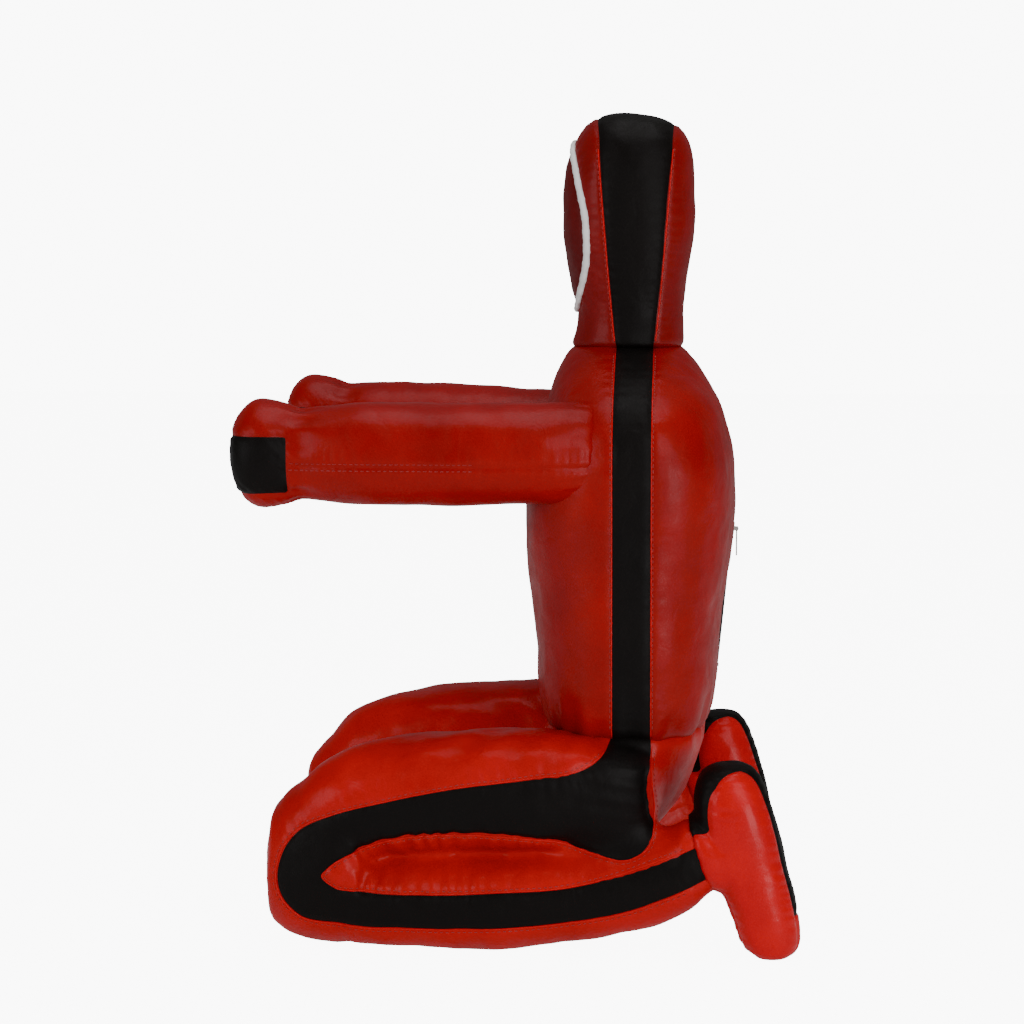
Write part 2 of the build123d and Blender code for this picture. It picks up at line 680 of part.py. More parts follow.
for name, side in SIDES.items():
    leg_side = beyond(side, middle_half)
    stripe_side = beyond(side, LEG_X + STRIPE_OUT)
    ankle_ball = ball((side * ANKLE_X, ANKLE_Y, ANKLE_Z), ANKLE_BALL)
    leg_cover = cut(within(lower_cover, leg_side), ankle_ball)
    outside, inside = within(leg_cover, stripe_side), cut(leg_cover, stripe_side)

    with BuildPart() as leg_fill:
        add(lower_filling)
        add(leg_side, mode=Mode.INTERSECT)
        add(ankle_ball)
    save(leg_fill.part, f"{name}_leg_fill")

    with BuildPart() as leg_side_stripe:
        add(outside)
        add(outer_loop, mode=Mode.INTERSECT)
        add(inner_loop, mode=Mode.SUBTRACT)
    save(whole(leg_side_stripe.part), f"{name}_leg_side_stripe")

    with BuildPart() as leg_front_panel:
        add(cut(outside, outer_loop))
        add(cut(inside, middle_loop))
    save(leg_front_panel.part, f"{name}_leg_front_panel")

    with BuildPart() as leg_back_panel:
        add(within(outside, inner_loop))
        add(within(inside, middle_loop))
    save(leg_back_panel.part, f"{name}_leg_back_panel")

# ---- feet -------------------------------------------------------------------------------------------
def foot_middle_y(z):
    """The foot's own middle line, at a height."""
    return TOE_Y + (HEEL_Y - TOE_Y) * (z - TOE_Z) / (HEEL_Z - TOE_Z)


with BuildPart() as sole_prism:
    with BuildSketch(Plane.YZ):
        Polygon((foot_middle_y(SOLE_END_Z), SOLE_END_Z), (foot_middle_y(ANKLE_Z), ANKLE_Z), (-FAR, ANKLE_Z),
                (-FAR, FAR), (FAR, FAR), (FAR, SOLE_END_Z), align=None)
    extrude(amount=FAR, both=True)

for name, side in SIDES.items():
    ankle_socket = ball((side * ANKLE_X, ANKLE_Y, ANKLE_Z), ANKLE_BALL + RUN_GAP)
    foot_cover = cut(shell(foot_shape, side), ankle_socket)
    lateral = beyond(side, ANKLE_X + STRIP_WIDTH / 2)
    centre_out = beyond(side, ANKLE_X - STRIP_WIDTH / 2)
    strip = cut(within(foot_cover, centre_out), lateral)

    with BuildPart() as foot_fill:
        add(filling(foot_shape, side))
        add(ankle_socket, mode=Mode.SUBTRACT)
    save(foot_fill.part, f"{name}_foot_fill")

    with BuildPart() as foot_lateral_panel:
        add(foot_cover)
        add(lateral, mode=Mode.INTERSECT)
    save(foot_lateral_panel.part, f"{name}_foot_lateral_panel")

    with BuildPart() as foot_medial_panel:
        add(foot_cover)
        add(centre_out, mode=Mode.SUBTRACT)
    save(foot_medial_panel.part, f"{name}_foot_medial_panel")

    with BuildPart() as foot_sole_strip:
        add(strip)
        add(sole_prism.part, mode=Mode.INTERSECT)
    save(foot_sole_strip.part, f"{name}_foot_sole_strip")

    with BuildPart() as foot_instep_strip:
        add(strip)
        add(sole_prism.part, mode=Mode.SUBTRACT)
    save(foot_instep_strip.part, f"{name}_foot_instep_strip")
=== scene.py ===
"""A kneeling grappling dummy in glossy leather: the visual model over its CAD frame.

Every section is a closed, stuffed skin. It is cut along its seams into the sewn panels, which sink into the
seams and pucker beside them. Metres, +Z up, the figure faces -Y and its left side is +X.
"""
import json
from math import cos, pi, radians, sin

import bmesh
import bpy
import numpy as np
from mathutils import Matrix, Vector, noise
from mathutils.bvhtree import BVHTree


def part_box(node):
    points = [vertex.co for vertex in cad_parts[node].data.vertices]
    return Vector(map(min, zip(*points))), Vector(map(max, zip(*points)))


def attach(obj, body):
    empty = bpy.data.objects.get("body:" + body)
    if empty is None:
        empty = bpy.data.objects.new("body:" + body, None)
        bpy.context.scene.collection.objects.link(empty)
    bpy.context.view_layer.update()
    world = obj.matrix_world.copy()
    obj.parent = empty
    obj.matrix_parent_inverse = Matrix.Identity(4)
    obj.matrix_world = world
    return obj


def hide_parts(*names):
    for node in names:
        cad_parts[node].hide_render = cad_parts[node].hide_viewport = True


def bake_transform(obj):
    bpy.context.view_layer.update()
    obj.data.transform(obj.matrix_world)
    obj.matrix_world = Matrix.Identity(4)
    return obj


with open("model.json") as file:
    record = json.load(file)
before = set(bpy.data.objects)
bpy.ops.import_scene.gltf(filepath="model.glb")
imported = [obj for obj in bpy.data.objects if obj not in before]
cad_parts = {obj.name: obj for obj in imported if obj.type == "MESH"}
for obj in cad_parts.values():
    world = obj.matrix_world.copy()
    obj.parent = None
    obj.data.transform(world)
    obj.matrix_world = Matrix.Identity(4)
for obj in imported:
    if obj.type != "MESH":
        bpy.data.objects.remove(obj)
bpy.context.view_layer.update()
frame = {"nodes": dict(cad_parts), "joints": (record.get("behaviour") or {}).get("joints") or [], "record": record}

SIDES = {"left": 1, "right": -1}
MM = 0.001

# ---- places taken from the frame ----------------------------------------------------------------------
JOINTS = {joint["name"]: joint for joint in frame["joints"]}
WAIST = Vector(JOINTS["waist_lean"]["pos_m"])
NECK = Vector(JOINTS["neck_nod"]["pos_m"])
SHOULDER = Vector(JOINTS["left_shoulder_lift"]["pos_m"])
ANKLE = Vector(JOINTS["left_ankle_flex"]["pos_m"])
BAND_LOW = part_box("torso_left_side_band")[0][1]
BAND_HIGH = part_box("torso_left_side_band")[1][1]
BAND_Y = (BAND_LOW + BAND_HIGH) / 2
ARM_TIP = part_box("left_hand_patch")[0][1]
PATCH_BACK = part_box("left_hand_patch")[1][1]
PATCH_Z = (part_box("left_hand_patch")[0][2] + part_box("left_hand_patch")[1][2]) / 2
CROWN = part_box("head_crown_band")[1][2]

# ---- skin resolution and seams ------------------------------------------------------------------------
VOXEL = 4.5 * MM
SEAM_DEPTH = 1.8 * MM
SEAM_WIDTH = 3.2 * MM
PUCKER = 0.7 * MM       # height of the small gathers beside a seam
PUCKER_PITCH = 11 * MM
PUCKER_REACH = 16 * MM
THREAD = 0.55 * MM
STITCH = 4.2 * MM
STITCH_PITCH = 6.5 * MM


# ---- materials ----------------------------------------------------------------------------------------
def material(name):
    made = bpy.data.materials.new(name)
    made.use_nodes = True
    return made, made.node_tree.nodes, made.node_tree.links, made.node_tree.nodes["Principled BSDF"]


def node(nodes, kind, **values):
    """A node with its properties and its inputs set by name."""
    made = nodes.new(kind)
    for key, value in values.items():
        if key in made.inputs:
            made.inputs[key].default_value = value
        else:
            setattr(made, key, value)
    return made


def ramp(nodes, low, high, colours):
    made = nodes.new("ShaderNodeValToRGB")
    made.color_ramp.elements[0].position = low
    made.color_ramp.elements[1].position = high
    made.color_ramp.elements[0].color = (*colours[0], 1)
    made.color_ramp.elements[1].color = (*colours[1], 1)
    return made


def leather(name, colour, rough=0.3, coat=0.25, grain=0.16, crumple=0.35, worn=1.25, specular=0.16):
    """Coated leather: pebbled grain, shallow crumples, cloudy colour and rubbed high spots."""
    made, nodes, links, shader = material(name)
    where = nodes.new("ShaderNodeTexCoord").outputs["Object"]
    clouds = node(nodes, "ShaderNodeTexNoise", Scale=9.0, Detail=5.0, Roughness=0.6)
    pebbles = node(nodes, "ShaderNodeTexVoronoi", Scale=620.0, feature="SMOOTH_F1", Smoothness=0.6)
    pores = node(nodes, "ShaderNodeTexNoise", Scale=1400.0, Detail=2.0)
    folds = node(nodes, "ShaderNodeTexNoise", Scale=34.0, Detail=4.0, Roughness=0.5, Distortion=0.8)
    for texture in (clouds, pebbles, pores, folds):
        links.new(where, texture.inputs["Vector"])
    dark = tuple(c * 0.82 for c in colour)
    pale = tuple(min(1, c * 1.12) for c in colour)
    tone = ramp(nodes, 0.35, 0.7, (dark, pale))
    links.new(clouds.outputs["Fac"], tone.inputs["Fac"])
    geometry = nodes.new("ShaderNodeNewGeometry")
    edge = node(nodes, "ShaderNodeMapRange",
                **{"From Min": 0.5, "From Max": 0.62, "To Min": 0.0, "To Max": 0.55})
    links.new(geometry.outputs["Pointiness"], edge.inputs["Value"])
    rubbed = node(nodes, "ShaderNodeMix", data_type="RGBA")
    rubbed.inputs[7].default_value = (*(min(1, c * worn) for c in colour), 1)
    links.new(edge.outputs["Result"], rubbed.inputs[0])
    links.new(tone.outputs["Color"], rubbed.inputs[6])
    links.new(rubbed.outputs[2], shader.inputs["Base Color"])
    gloss = node(nodes, "ShaderNodeMapRange", **{"From Min": 0.3, "From Max": 0.75, "To Min": rough - 0.06,
                                                 "To Max": rough + 0.09})
    links.new(folds.outputs["Fac"], gloss.inputs["Value"])
    links.new(gloss.outputs["Result"], shader.inputs["Roughness"])
    low = node(nodes, "ShaderNodeBump", Strength=crumple, Distance=0.004)
    links.new(folds.outputs["Fac"], low.inputs["Height"])
    mid = node(nodes, "ShaderNodeBump", Strength=grain, Distance=0.0006, invert=True)
    links.new(pebbles.outputs["Distance"], mid.inputs["Height"])
    links.new(low.outputs["Normal"], mid.inputs["Normal"])
    fine = node(nodes, "ShaderNodeBump", Strength=grain * 0.6, Distance=0.0003)
    links.new(pores.outputs["Fac"], fine.inputs["Height"])
    links.new(mid.outputs["Normal"], fine.inputs["Normal"])
    links.new(fine.outputs["Normal"], shader.inputs["Normal"])
    shader.inputs["Coat Weight"].default_value = coat
    shader.inputs["Coat Roughness"].default_value = 0.16
    shader.inputs["Specular IOR Level"].default_value = specular
    return made


def woven(name, colour, pitch):
    """A tight plain weave, for thread and tape."""
    made, nodes, links, shader = material(name)
    where = nodes.new("ShaderNodeTexCoord").outputs["Object"]
    heights = []
    for axis in ("X", "Z"):
        wave = node(nodes, "ShaderNodeTexWave", Scale=1 / pitch / 6.28, bands_direction=axis)
        links.new(where, wave.inputs["Vector"])
        heights.append(wave.outputs["Fac"])
    both = node(nodes, "ShaderNodeMath", operation="MULTIPLY")
    links.new(heights[0], both.inputs[0])
    links.new(heights[1], both.inputs[1])
    tone = ramp(nodes, 0.1, 0.9, (tuple(c * 0.7 for c in colour), colour))
    links.new(both.outputs[0], tone.inputs["Fac"])
    links.new(tone.outputs["Color"], shader.inputs["Base Color"])
    bump = node(nodes, "ShaderNodeBump", Strength=0.5, Distance=0.0003)
    links.new(both.outputs[0], bump.inputs["Height"])
    links.new(bump.outputs["Normal"], shader.inputs["Normal"])
    shader.inputs["Roughness"].default_value = 0.75
    shader.inputs["Sheen Weight"].default_value = 0.2
    return made


def brushed(name, colour, metallic, rough):
    """Metal or hard plastic with fine scratches and smudges."""
    made, nodes, links, shader = material(name)
    where = nodes.new("ShaderNodeTexCoord").outputs["Object"]
    scratch = node(nodes, "ShaderNodeTexNoise", Scale=500.0, Detail=3.0, Distortion=1.5)
    links.new(where, scratch.inputs["Vector"])
    spread = node(nodes, "ShaderNodeMapRange", **{"To Min": rough - 0.08, "To Max": rough + 0.15})
    links.new(scratch.outputs["Fac"], spread.inputs["Value"])
    links.new(spread.outputs["Result"], shader.inputs["Roughness"])
    tone = ramp(nodes, 0.3, 0.7, (tuple(c * 0.8 for c in colour), colour))
    links.new(scratch.outputs["Fac"], tone.inputs["Fac"])
    links.new(tone.outputs["Color"], shader.inputs["Base Color"])
    bump = node(nodes, "ShaderNodeBump", Strength=0.1, Distance=0.0002)
    links.new(scratch.outputs["Fac"], bump.inputs["Height"])
    links.new(bump.outputs["Normal"], shader.inputs["Normal"])
    shader.inputs["Metallic"].default_value = metallic
    return made


# The red panels are one leather painted in steps, darker towards the top and lighter towards the feet: painted
# shade on the face (deepest), head, torso and arms, and painted light on the legs and feet.
LEATHERS = {
    "face_leather": leather("face_leather", (0.12, 0.0, 0.0), rough=0.46, coat=0.03),
    "head_leather": leather("head_leather", (0.2, 0.0, 0.0), rough=0.44, coat=0.04),
    "torso_leather": leather("torso_leather", (0.29, 0.0, 0.0), rough=0.44, coat=0.04),
    "leg_leather": leather("leg_leather", (0.47, 0.0, 0.0), rough=0.42, coat=0.06),
    "foot_leather": leather("foot_leather", (0.52, 0.0, 0.003), rough=0.36, coat=0.1, specular=0.12),
    "black_leather": leather("black_leather", (0.0034, 0.0022, 0.0018), rough=0.5, coat=0.0, worn=1.2,
                             specular=0.1),
    "white_piping": leather("white_piping", (0.85, 0.84, 0.83), rough=0.4, coat=0.05, worn=1.0),
}
THREADS = {
    "red": woven("thread_red", (0.4, 0.004, 0.004), 0.4 * MM),
    "welt": leather("welt_leather", (0.62, 0.0, 0.002), rough=0.4, coat=0.1),
    "black": woven("thread_black", (0.02, 0.018, 0.018), 0.4 * MM),
}


# ---- closed forms -------------------------------------------------------------------------------------
def smooth_rows(rows, count):
    """Rows of numbers resampled along their first column, with smooth curves through them."""
    rows = np.array(rows, float)
    steps = np.concatenate([[0], np.cumsum(np.linalg.norm(np.diff(rows[:, :3], axis=0), axis=1))])
    slopes = np.gradient(rows, steps, axis=0)
    out = []
    for t in np.linspace(0, steps[-1], count):
        i = min(max(int(np.searchsorted(steps, t)) - 1, 0), len(rows) - 2)
        h = steps[i + 1] - steps[i]
        u = (t - steps[i]) / h
        out.append((2 * u**3 - 3 * u**2 + 1) * rows[i] + (u**3 - 2 * u**2 + u) * h * slopes[i]
                   + (-2 * u**3 + 3 * u**2) * rows[i + 1] + (u**3 - u**2) * h * slopes[i + 1])
    return np.array(out)


def round_section(half_a, half_b, power, count=96):
    """Points of a superellipse: power 2 is an ellipse, more is squarer."""
    turns = np.linspace(0, 2 * pi, count, endpoint=False)
    a, b = np.cos(turns), np.sin(turns)
    return (half_a * np.sign(a) * np.abs(a) ** (2 / power), half_b * np.sign(b) * np.abs(b) ** (2 / power))


def lofted(rings):
    """Vertices and faces of a closed form through rings of equal count, with fans over both ends."""
    count = len(rings[0])
    verts = [tuple(p) for ring in rings for p in ring]
    faces = []
    for k in range(len(rings) - 1):
        for i in range(count):
            j = (i + 1) % count
            faces.append((k * count + i, k * count + j, (k + 1) * count + j, (k + 1) * count + i))
    for base, ring in ((0, rings[0]), ((len(rings) - 1) * count, rings[-1])):
        centre = len(verts)
        verts.append(tuple(np.mean(ring, axis=0)))
        for i in range(count):
            j = (i + 1) % count
            faces.append((base + j, base + i, centre) if base == 0 else (base + i, base + j, centre))
    return verts, faces


def upright(rows, count=60):
    """A form up Z: each row is z, front y, back y, half-width and power."""
    rings = []
    for z, front, back, half, power in smooth_rows(rows, count):
        a, b = round_section(max(half, 1e-4), max((back - front) / 2, 1e-4), power)
        rings.append(np.stack([a, (front + back) / 2 + b, np.full_like(a, z)], axis=1))
    return lofted(rings)


def lengthwise(rows, count=60):
    """A form along Y: each row is y, x, z, half-width, half-height, power and how far its top leans in Y."""
    rings = []
    for y, x, z, half, rise, power, lean in smooth_rows(rows, count):
        a, b = round_section(max(half, 1e-4), max(rise, 1e-4), power)
        rings.append(np.stack([x + a, y + b * lean, z + b], axis=1))
    return lofted(rings)


def skin_of(forms, voxel=VOXEL, smoothing=6):
    """One closed, evenly meshed skin round all the forms, as vertices, faces and outward normals."""
    mesh = bpy.data.meshes.new("form")
    verts, faces = [], []
    for form_verts, form_faces in forms:
        faces += [tuple(i + len(verts) for i in face) for face in form_faces]
        verts += form_verts
    mesh.from_pydata(verts, [], faces)
    bm = bmesh.new()
    bm.from_mesh(mesh)
    bmesh.ops.recalc_face_normals(bm, faces=bm.faces)
    bm.to_mesh(mesh)
    bm.free()
    form = bpy.data.objects.new("form", mesh)
    bpy.context.scene.collection.objects.link(form)
    remesh = form.modifiers.new("remesh", "REMESH")
    remesh.mode = "VOXEL"
    remesh.voxel_size = voxel
    relax = form.modifiers.new("relax", "SMOOTH")
    relax.factor = 0.5
    relax.iterations = smoothing
    evaluated = form.evaluated_get(bpy.context.evaluated_depsgraph_get()).to_mesh()
    points = np.empty(len(evaluated.vertices) * 3)
    evaluated.vertices.foreach_get("co", points)
    normals = np.empty(len(evaluated.vertices) * 3)
    evaluated.vertices.foreach_get("normal", normals)
    polygons = [tuple(p.vertices) for p in evaluated.polygons]
    bpy.data.objects.remove(form)
    return points.reshape(-1, 3), polygons, normals.reshape(-1, 3)


def cut_along(points, faces, fields, level):
    """Splits every face that a field's zero crosses. Fields are columns, one value to a vertex."""
    points, fields = list(map(tuple, points)), [list(row) for row in fields]
    new, out = {}, []

    def crossing(i, j):
        key = (min(i, j), max(i, j))
        if key not in new:
            a, b = fields[i][level], fields[j][level]
            t = a / (a - b)
            new[key] = len(points)
            points.append(tuple(p + (q - p) * t for p, q in zip(points[i], points[j])))
            fields.append([p + (q - p) * t for p, q in zip(fields[i], fields[j])])
            fields[-1][level] = 0.0
        return new[key]

    for face in faces:
        values = [fields[i][level] for i in face]
        if min(values) >= 0 or max(values) <= 0:
            out.append(face)
            continue
        high, low = [], []
        for k, i in enumerate(face):
            j = face[(k + 1) % len(face)]
            a, b = fields[i][level], fields[j][level]
            if a >= 0:
                high.append(i)
            if a <= 0:
                low.append(i)
            if a * b < 0:
                c = crossing(i, j)
                high.append(c)
                low.append(c)
        out += [tuple(part) for part in (high, low) if len(part) >= 3]
    return np.array(points), out, np.array(fields)


def vertex_normals(points, faces):
    normals = np.zeros_like(points)
    for face in faces:
        a, b, c = points[face[0]], points[face[1]], points[face[2]]
        n = np.cross(b - a, c - a)
        if len(face) > 3:
            n = n + np.cross(c - a, points[face[3]] - a)
        for i in face:
            normals[i] += n
    return normals / np.maximum(np.linalg.norm(normals, axis=1, keepdims=True), 1e-12)


def cloud(points, scale, seed=0.0):
    """Smooth noise about -1 to 1 at every point."""
    return np.array([noise.noise(Vector((p[0] * scale + seed, p[1] * scale, p[2] * scale))) for p in points])


def gathered(along, away, reach=PUCKER_REACH, pitch=PUCKER_PITCH):
    """The small gathers beside a seam, by distance along it and away from it."""
    return np.sin(2 * pi * along / pitch + 2.2 * np.sin(along / pitch * 0.9)) * np.exp(-(away / reach) ** 2)


class Skin:
    """A stuffed skin, its seam fields, and the panels that it is cut into."""

    def __init__(self, forms, fields, seed=0.0, voxel=VOXEL, smoothing=6):
        self.points, self.faces, _ = skin_of(forms, voxel, smoothing)
        values = np.stack([field(self.points) for field in fields], axis=1)
        for level in range(values.shape[1]):
            self.points, self.faces, values = cut_along(self.points, self.faces, values, level)
        self.fields = values
        self.seed = seed
        self.normals = vertex_normals(self.points, self.faces)

    def push(self, amount):
        """Moves the skin out along its normals."""
        self.points = self.points + self.normals * amount[:, None]

    def relax(self, where, passes):
        """Evens out the skin where the weights say so, as taut leather bridges a hollow."""
        pairs = np.array([(a, b) for face in self.faces for a, b in zip(face, (*face[1:], face[0]))])
        count = np.bincount(pairs[:, 0], minlength=len(self.points))[:, None] + 1e-9
        for _ in range(passes):
            total = np.zeros_like(self.points)
            np.add.at(total, pairs[:, 0], self.points[pairs[:, 1]])
            self.points = self.points + where[:, None] * 0.7 * (total / count - self.points)
        self.normals = vertex_normals(self.points, self.faces)

    def crumple(self, scale, height, seed=0.0):
        self.push(cloud(self.points, scale, self.seed + seed) * height)

    def panel(self, name, chosen, slot, body):
        """A panel of the faces whose middle field values pass the test."""
        means = np.array([self.fields[list(face)].mean(axis=0) for face in self.faces])
        centres = np.array([self.points[list(face)].mean(axis=0) for face in self.faces])
        mask = chosen(means, centres)
        faces = [face for face, keep in zip(self.faces, mask) if keep]
        used = sorted({i for face in faces for i in face})
        number = {old: new for new, old in enumerate(used)}
        mesh = bpy.data.meshes.new(name)
        mesh.from_pydata([tuple(self.points[i]) for i in used], [],
                         [[number[i] for i in face] for face in faces])
        mesh.polygons.foreach_set("use_smooth", [True] * len(mesh.polygons))
        mesh.materials.append(LEATHERS[slot])
        mesh.normals_split_custom_set_from_vertices([tuple(n) for n in self.final_normals[used]])
        piece = bpy.data.objects.new(name, mesh)
        bpy.context.scene.collection.objects.link(piece)
        if body:
            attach(piece, body)
        return piece

    def finish(self):
        self.final_normals = vertex_normals(self.points, self.faces)
        self.tree = BVHTree.FromPolygons([Vector(p) for p in self.points], self.faces)


def polyline(points, count):
    """A smooth open curve through points in a plane, evenly spaced."""
    return smooth_rows([(*p, 0.0) for p in points], count)[:, :2]


def beside(points_2d, curve):
    """Signed distance from a curve, positive on its left, and the distance along it."""
    starts, ends = curve[:-1], curve[1:]
    runs = ends - starts
    lengths = np.linalg.norm(runs, axis=1)
    before = np.concatenate([[0], np.cumsum(lengths)[:-1]])
    best = np.full(len(points_2d), 1e9)
    side = np.zeros(len(points_2d))
    along = np.zeros(len(points_2d))
    for start, run, length, offset in zip(starts, runs, lengths, before):
        rel = points_2d - start
        t = np.clip(rel @ run / length**2, 0, 1)
        gap = np.linalg.norm(rel - t[:, None] * run, axis=1)
        turn = run[0] * rel[:, 1] - run[1] * rel[:, 0]
        nearer = gap < best
        best = np.where(nearer, gap, best)
        side = np.where(nearer, np.sign(turn), side)
        along = np.where(nearer, offset + t * length, along)
    return best * side, along


def fields_of(skin, index):
    return skin.fields[:, index]


def seam(skin, index, depth=SEAM_DEPTH, width=SEAM_WIDTH, pucker=PUCKER, along=None, reach=PUCKER_REACH,
         pitch=PUCKER_PITCH, where=None):
    """Sinks a skin into a seam and gathers it beside the seam."""
    away = np.abs(fields_of(skin, index))
    part = np.ones(len(away)) if where is None else where
    amount = -depth * np.exp(-(away / width) ** 2)
    if along is None:
        along = skin.points[:, 2]
    uneven = 0.55 + 0.75 * cloud(skin.points, 22, 3.0 + index)
    clear = 1 - np.exp(-(away / (width * 0.8)) ** 2)
    amount = amount + pucker * uneven * gathered(along, away, reach, pitch) * clear
    skin.push(amount * part)


def stitches(name, tree, points, outs, thread, body, lift=0.2 * MM):
    """A row of thread stitches laid on a skin: points along the row, and the direction to look down from."""
    mesh = bpy.data.meshes.new(name)
    verts, faces = [], []
    laid = []
    for point, out in zip(points, outs):
        hit, normal, _, _ = tree.ray_cast(Vector(point) + Vector(out) * 0.5, -Vector(out), 0.6)
        laid.append((hit, normal) if hit is not None else None)
    run = 0.0
    last = None
    for here in laid:
        if here is None or last is None:
            last = here
            continue
        step = (here[0] - last[0]).length
        if step < 1e-6 or step > 0.02:
            last = here
            continue
        run += step
        if run >= STITCH_PITCH:
            run = 0.0
            along = (here[0] - last[0]).normalized()
            normal = here[1].normalized()
            across = along.cross(normal).normalized()
            base = len(verts)
            for t in (-0.5, -0.36, -0.15, 0.15, 0.36, 0.5):
                rise = (lift + THREAD * 0.9) * (1 - (2 * t) ** 4) - THREAD * 0.6
                thick = THREAD * (1 - 0.35 * abs(2 * t) ** 3)
                middle = here[0] + along * (t * STITCH) + normal * rise
                for k in range(6):
                    turn = k * pi / 3
                    verts.append(middle + across * (cos(turn) * thick) + normal * (sin(turn) * thick))
            for ring in range(5):
                for k in range(6):
                    n = (k + 1) % 6
                    low = base + ring * 6
                    faces.append((low + k, low + n, low + 6 + n, low + 6 + k))
            faces.append(tuple(base + k for k in reversed(range(6))))
            faces.append(tuple(base + 30 + k for k in range(6)))
        last = here
    mesh.from_pydata(verts, [], faces)
    mesh.polygons.foreach_set("use_smooth", [True] * len(mesh.polygons))
    mesh.materials.append(THREADS[thread])
    piece = bpy.data.objects.new(name, mesh)
    bpy.context.scene.collection.objects.link(piece)
    if body:
        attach(piece, body)
    return piece


def welt(name, tree, points, outs, body, radius=0.8 * MM):
    """The turned edge of a red panel, a thin raised line beside its seam."""
    laid = []
    for point, out in zip(points, outs):
        hit, normal, _, _ = tree.ray_cast(Vector(point) + Vector(out) * 0.5, -Vector(out), 0.6)
        if hit is not None and (not laid or 0.0012 < (hit - laid[-1][0]).length < 0.02):
            laid.append((hit + normal * (radius * 0.3), normal))
    verts, faces = [], []
    for i, (point, normal) in enumerate(laid):
        ahead, behind = laid[min(i + 1, len(laid) - 1)][0], laid[max(i - 1, 0)][0]
        along = (ahead - behind).normalized()
        across = along.cross(normal).normalized()
        thick = radius * (1 + 0.18 * sin(i * 0.7))
        for k in range(8):
            turn = k * pi / 4
            verts.append(point + across * (cos(turn) * thick) + normal * (sin(turn) * thick))
    for i in range(len(laid) - 1):
        for k in range(8):
            n = (k + 1) % 8
            faces.append((i * 8 + k, i * 8 + n, i * 8 + 8 + n, i * 8 + 8 + k))
    faces.append(tuple(reversed(range(8))))
    faces.append(tuple(len(verts) - 8 + k for k in range(8)))
    mesh = bpy.data.meshes.new(name)
    mesh.from_pydata(verts, [], faces)
    mesh.polygons.foreach_set("use_smooth", [True] * len(mesh.polygons))
    mesh.materials.append(THREADS["welt"])
    piece = bpy.data.objects.new(name, mesh)
    bpy.context.scene.collection.objects.link(piece)
    if body:
        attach(piece, body)
    return piece


def level(axis, value):
    """A seam in a plane square to an axis."""
    return lambda p: p[:, axis] - value


# ---- head ---------------------------------------------------------------------------------------------
NECK_Z = NECK.z
# z above the neck seam, front y, back y, half-width, power
HEAD_ROWS = [
    (-6, 80, 175, 46, 2.2), (-2, 66, 190, 62, 2.2), (3, 60, 197, 68, 2.2), (20, 64, 198, 68, 2.2),
    (45, 66, 199, 70, 2.2), (75, 61, 202, 75, 2.3), (105, 56, 206, 81, 2.3), (140, 51, 210, 87, 2.4),
    (170, 50, 212, 90, 2.4), (205, 52, 212, 91, 2.4), (235, 57, 210, 88, 2.4), (258, 66, 202, 79, 2.4),
    (273, 76, 190, 66, 2.3), (282, 90, 172, 48, 2.2), (287, 112, 146, 20, 2.0),
]
head_form = upright([((NECK_Z + z * MM), f * MM, b * MM, h * MM, n) for z, f, b, h, n in HEAD_ROWS], 70)
FACE_Z = (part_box("head_face_panel")[0][2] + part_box("head_face_panel")[1][2]) / 2
FACE_HALF = (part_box("head_face_panel")[1][0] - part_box("head_face_panel")[0][0]) / 2
FACE_RISE = (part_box("head_face_panel")[1][2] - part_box("head_face_panel")[0][2]) / 2
HEAD_TOP = CROWN - NECK_Z


def band_half(z):
    """Half-width of the head's band: it widens from the neck to the crown."""
    share = np.clip((z - NECK_Z) / HEAD_TOP, 0, 1)
    return (23 + 25 * share**0.85) * MM


def face_field(p):
    """Distance inside the face's oval, which is wider below its middle."""
    rise = (p[:, 2] - FACE_Z) / FACE_RISE
    half = FACE_HALF * (0.97 + 0.07 * rise)
    reach = np.sqrt((p[:, 0] / half) ** 2 + rise**2)
    distance = (1 - reach) * FACE_HALF
    return np.where(p[:, 1] < BAND_Y, distance, -FACE_HALF)


head = Skin([head_form], [
    lambda p: p[:, 1] - (BAND_Y - band_half(p[:, 2])),
    lambda p: p[:, 1] - (BAND_Y + band_half(p[:, 2])),
    face_field,
], seed=1.0, voxel=3.2 * MM, smoothing=4)
head.crumple(13, 2.4 * MM)
head.crumple(38, 0.9 * MM, 5)
seam(head, 0, pucker=0.6 * MM)
seam(head, 1, pucker=0.6 * MM)
seam(head, 2, pucker=0.7 * MM, along=np.arctan2(head.points[:, 0], head.points[:, 2] - FACE_Z) * 0.09)
head.push(1.8 * MM * np.clip(fields_of(head, 2) / 0.02, 0, 1))
head.finish()


def in_head(name, chosen, slot, *nodes):
    piece = head.panel(name, chosen, slot, None)
    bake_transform(piece)
    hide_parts(*nodes)
    return piece


in_head("head_face", lambda f, c: f[:, 2] > 0, "face_leather", "head_face_panel")
in_head("head_front", lambda f, c: (f[:, 2] <= 0) & (f[:, 0] < 0), "head_leather", "head_front_panel")
in_head("head_band", lambda f, c: (f[:, 0] >= 0) & (f[:, 1] < 0), "black_leather",
        "head_crown_band", "head_fill")
in_head("head_back", lambda f, c: f[:, 1] >= 0, "head_leather", "head_back_panel")


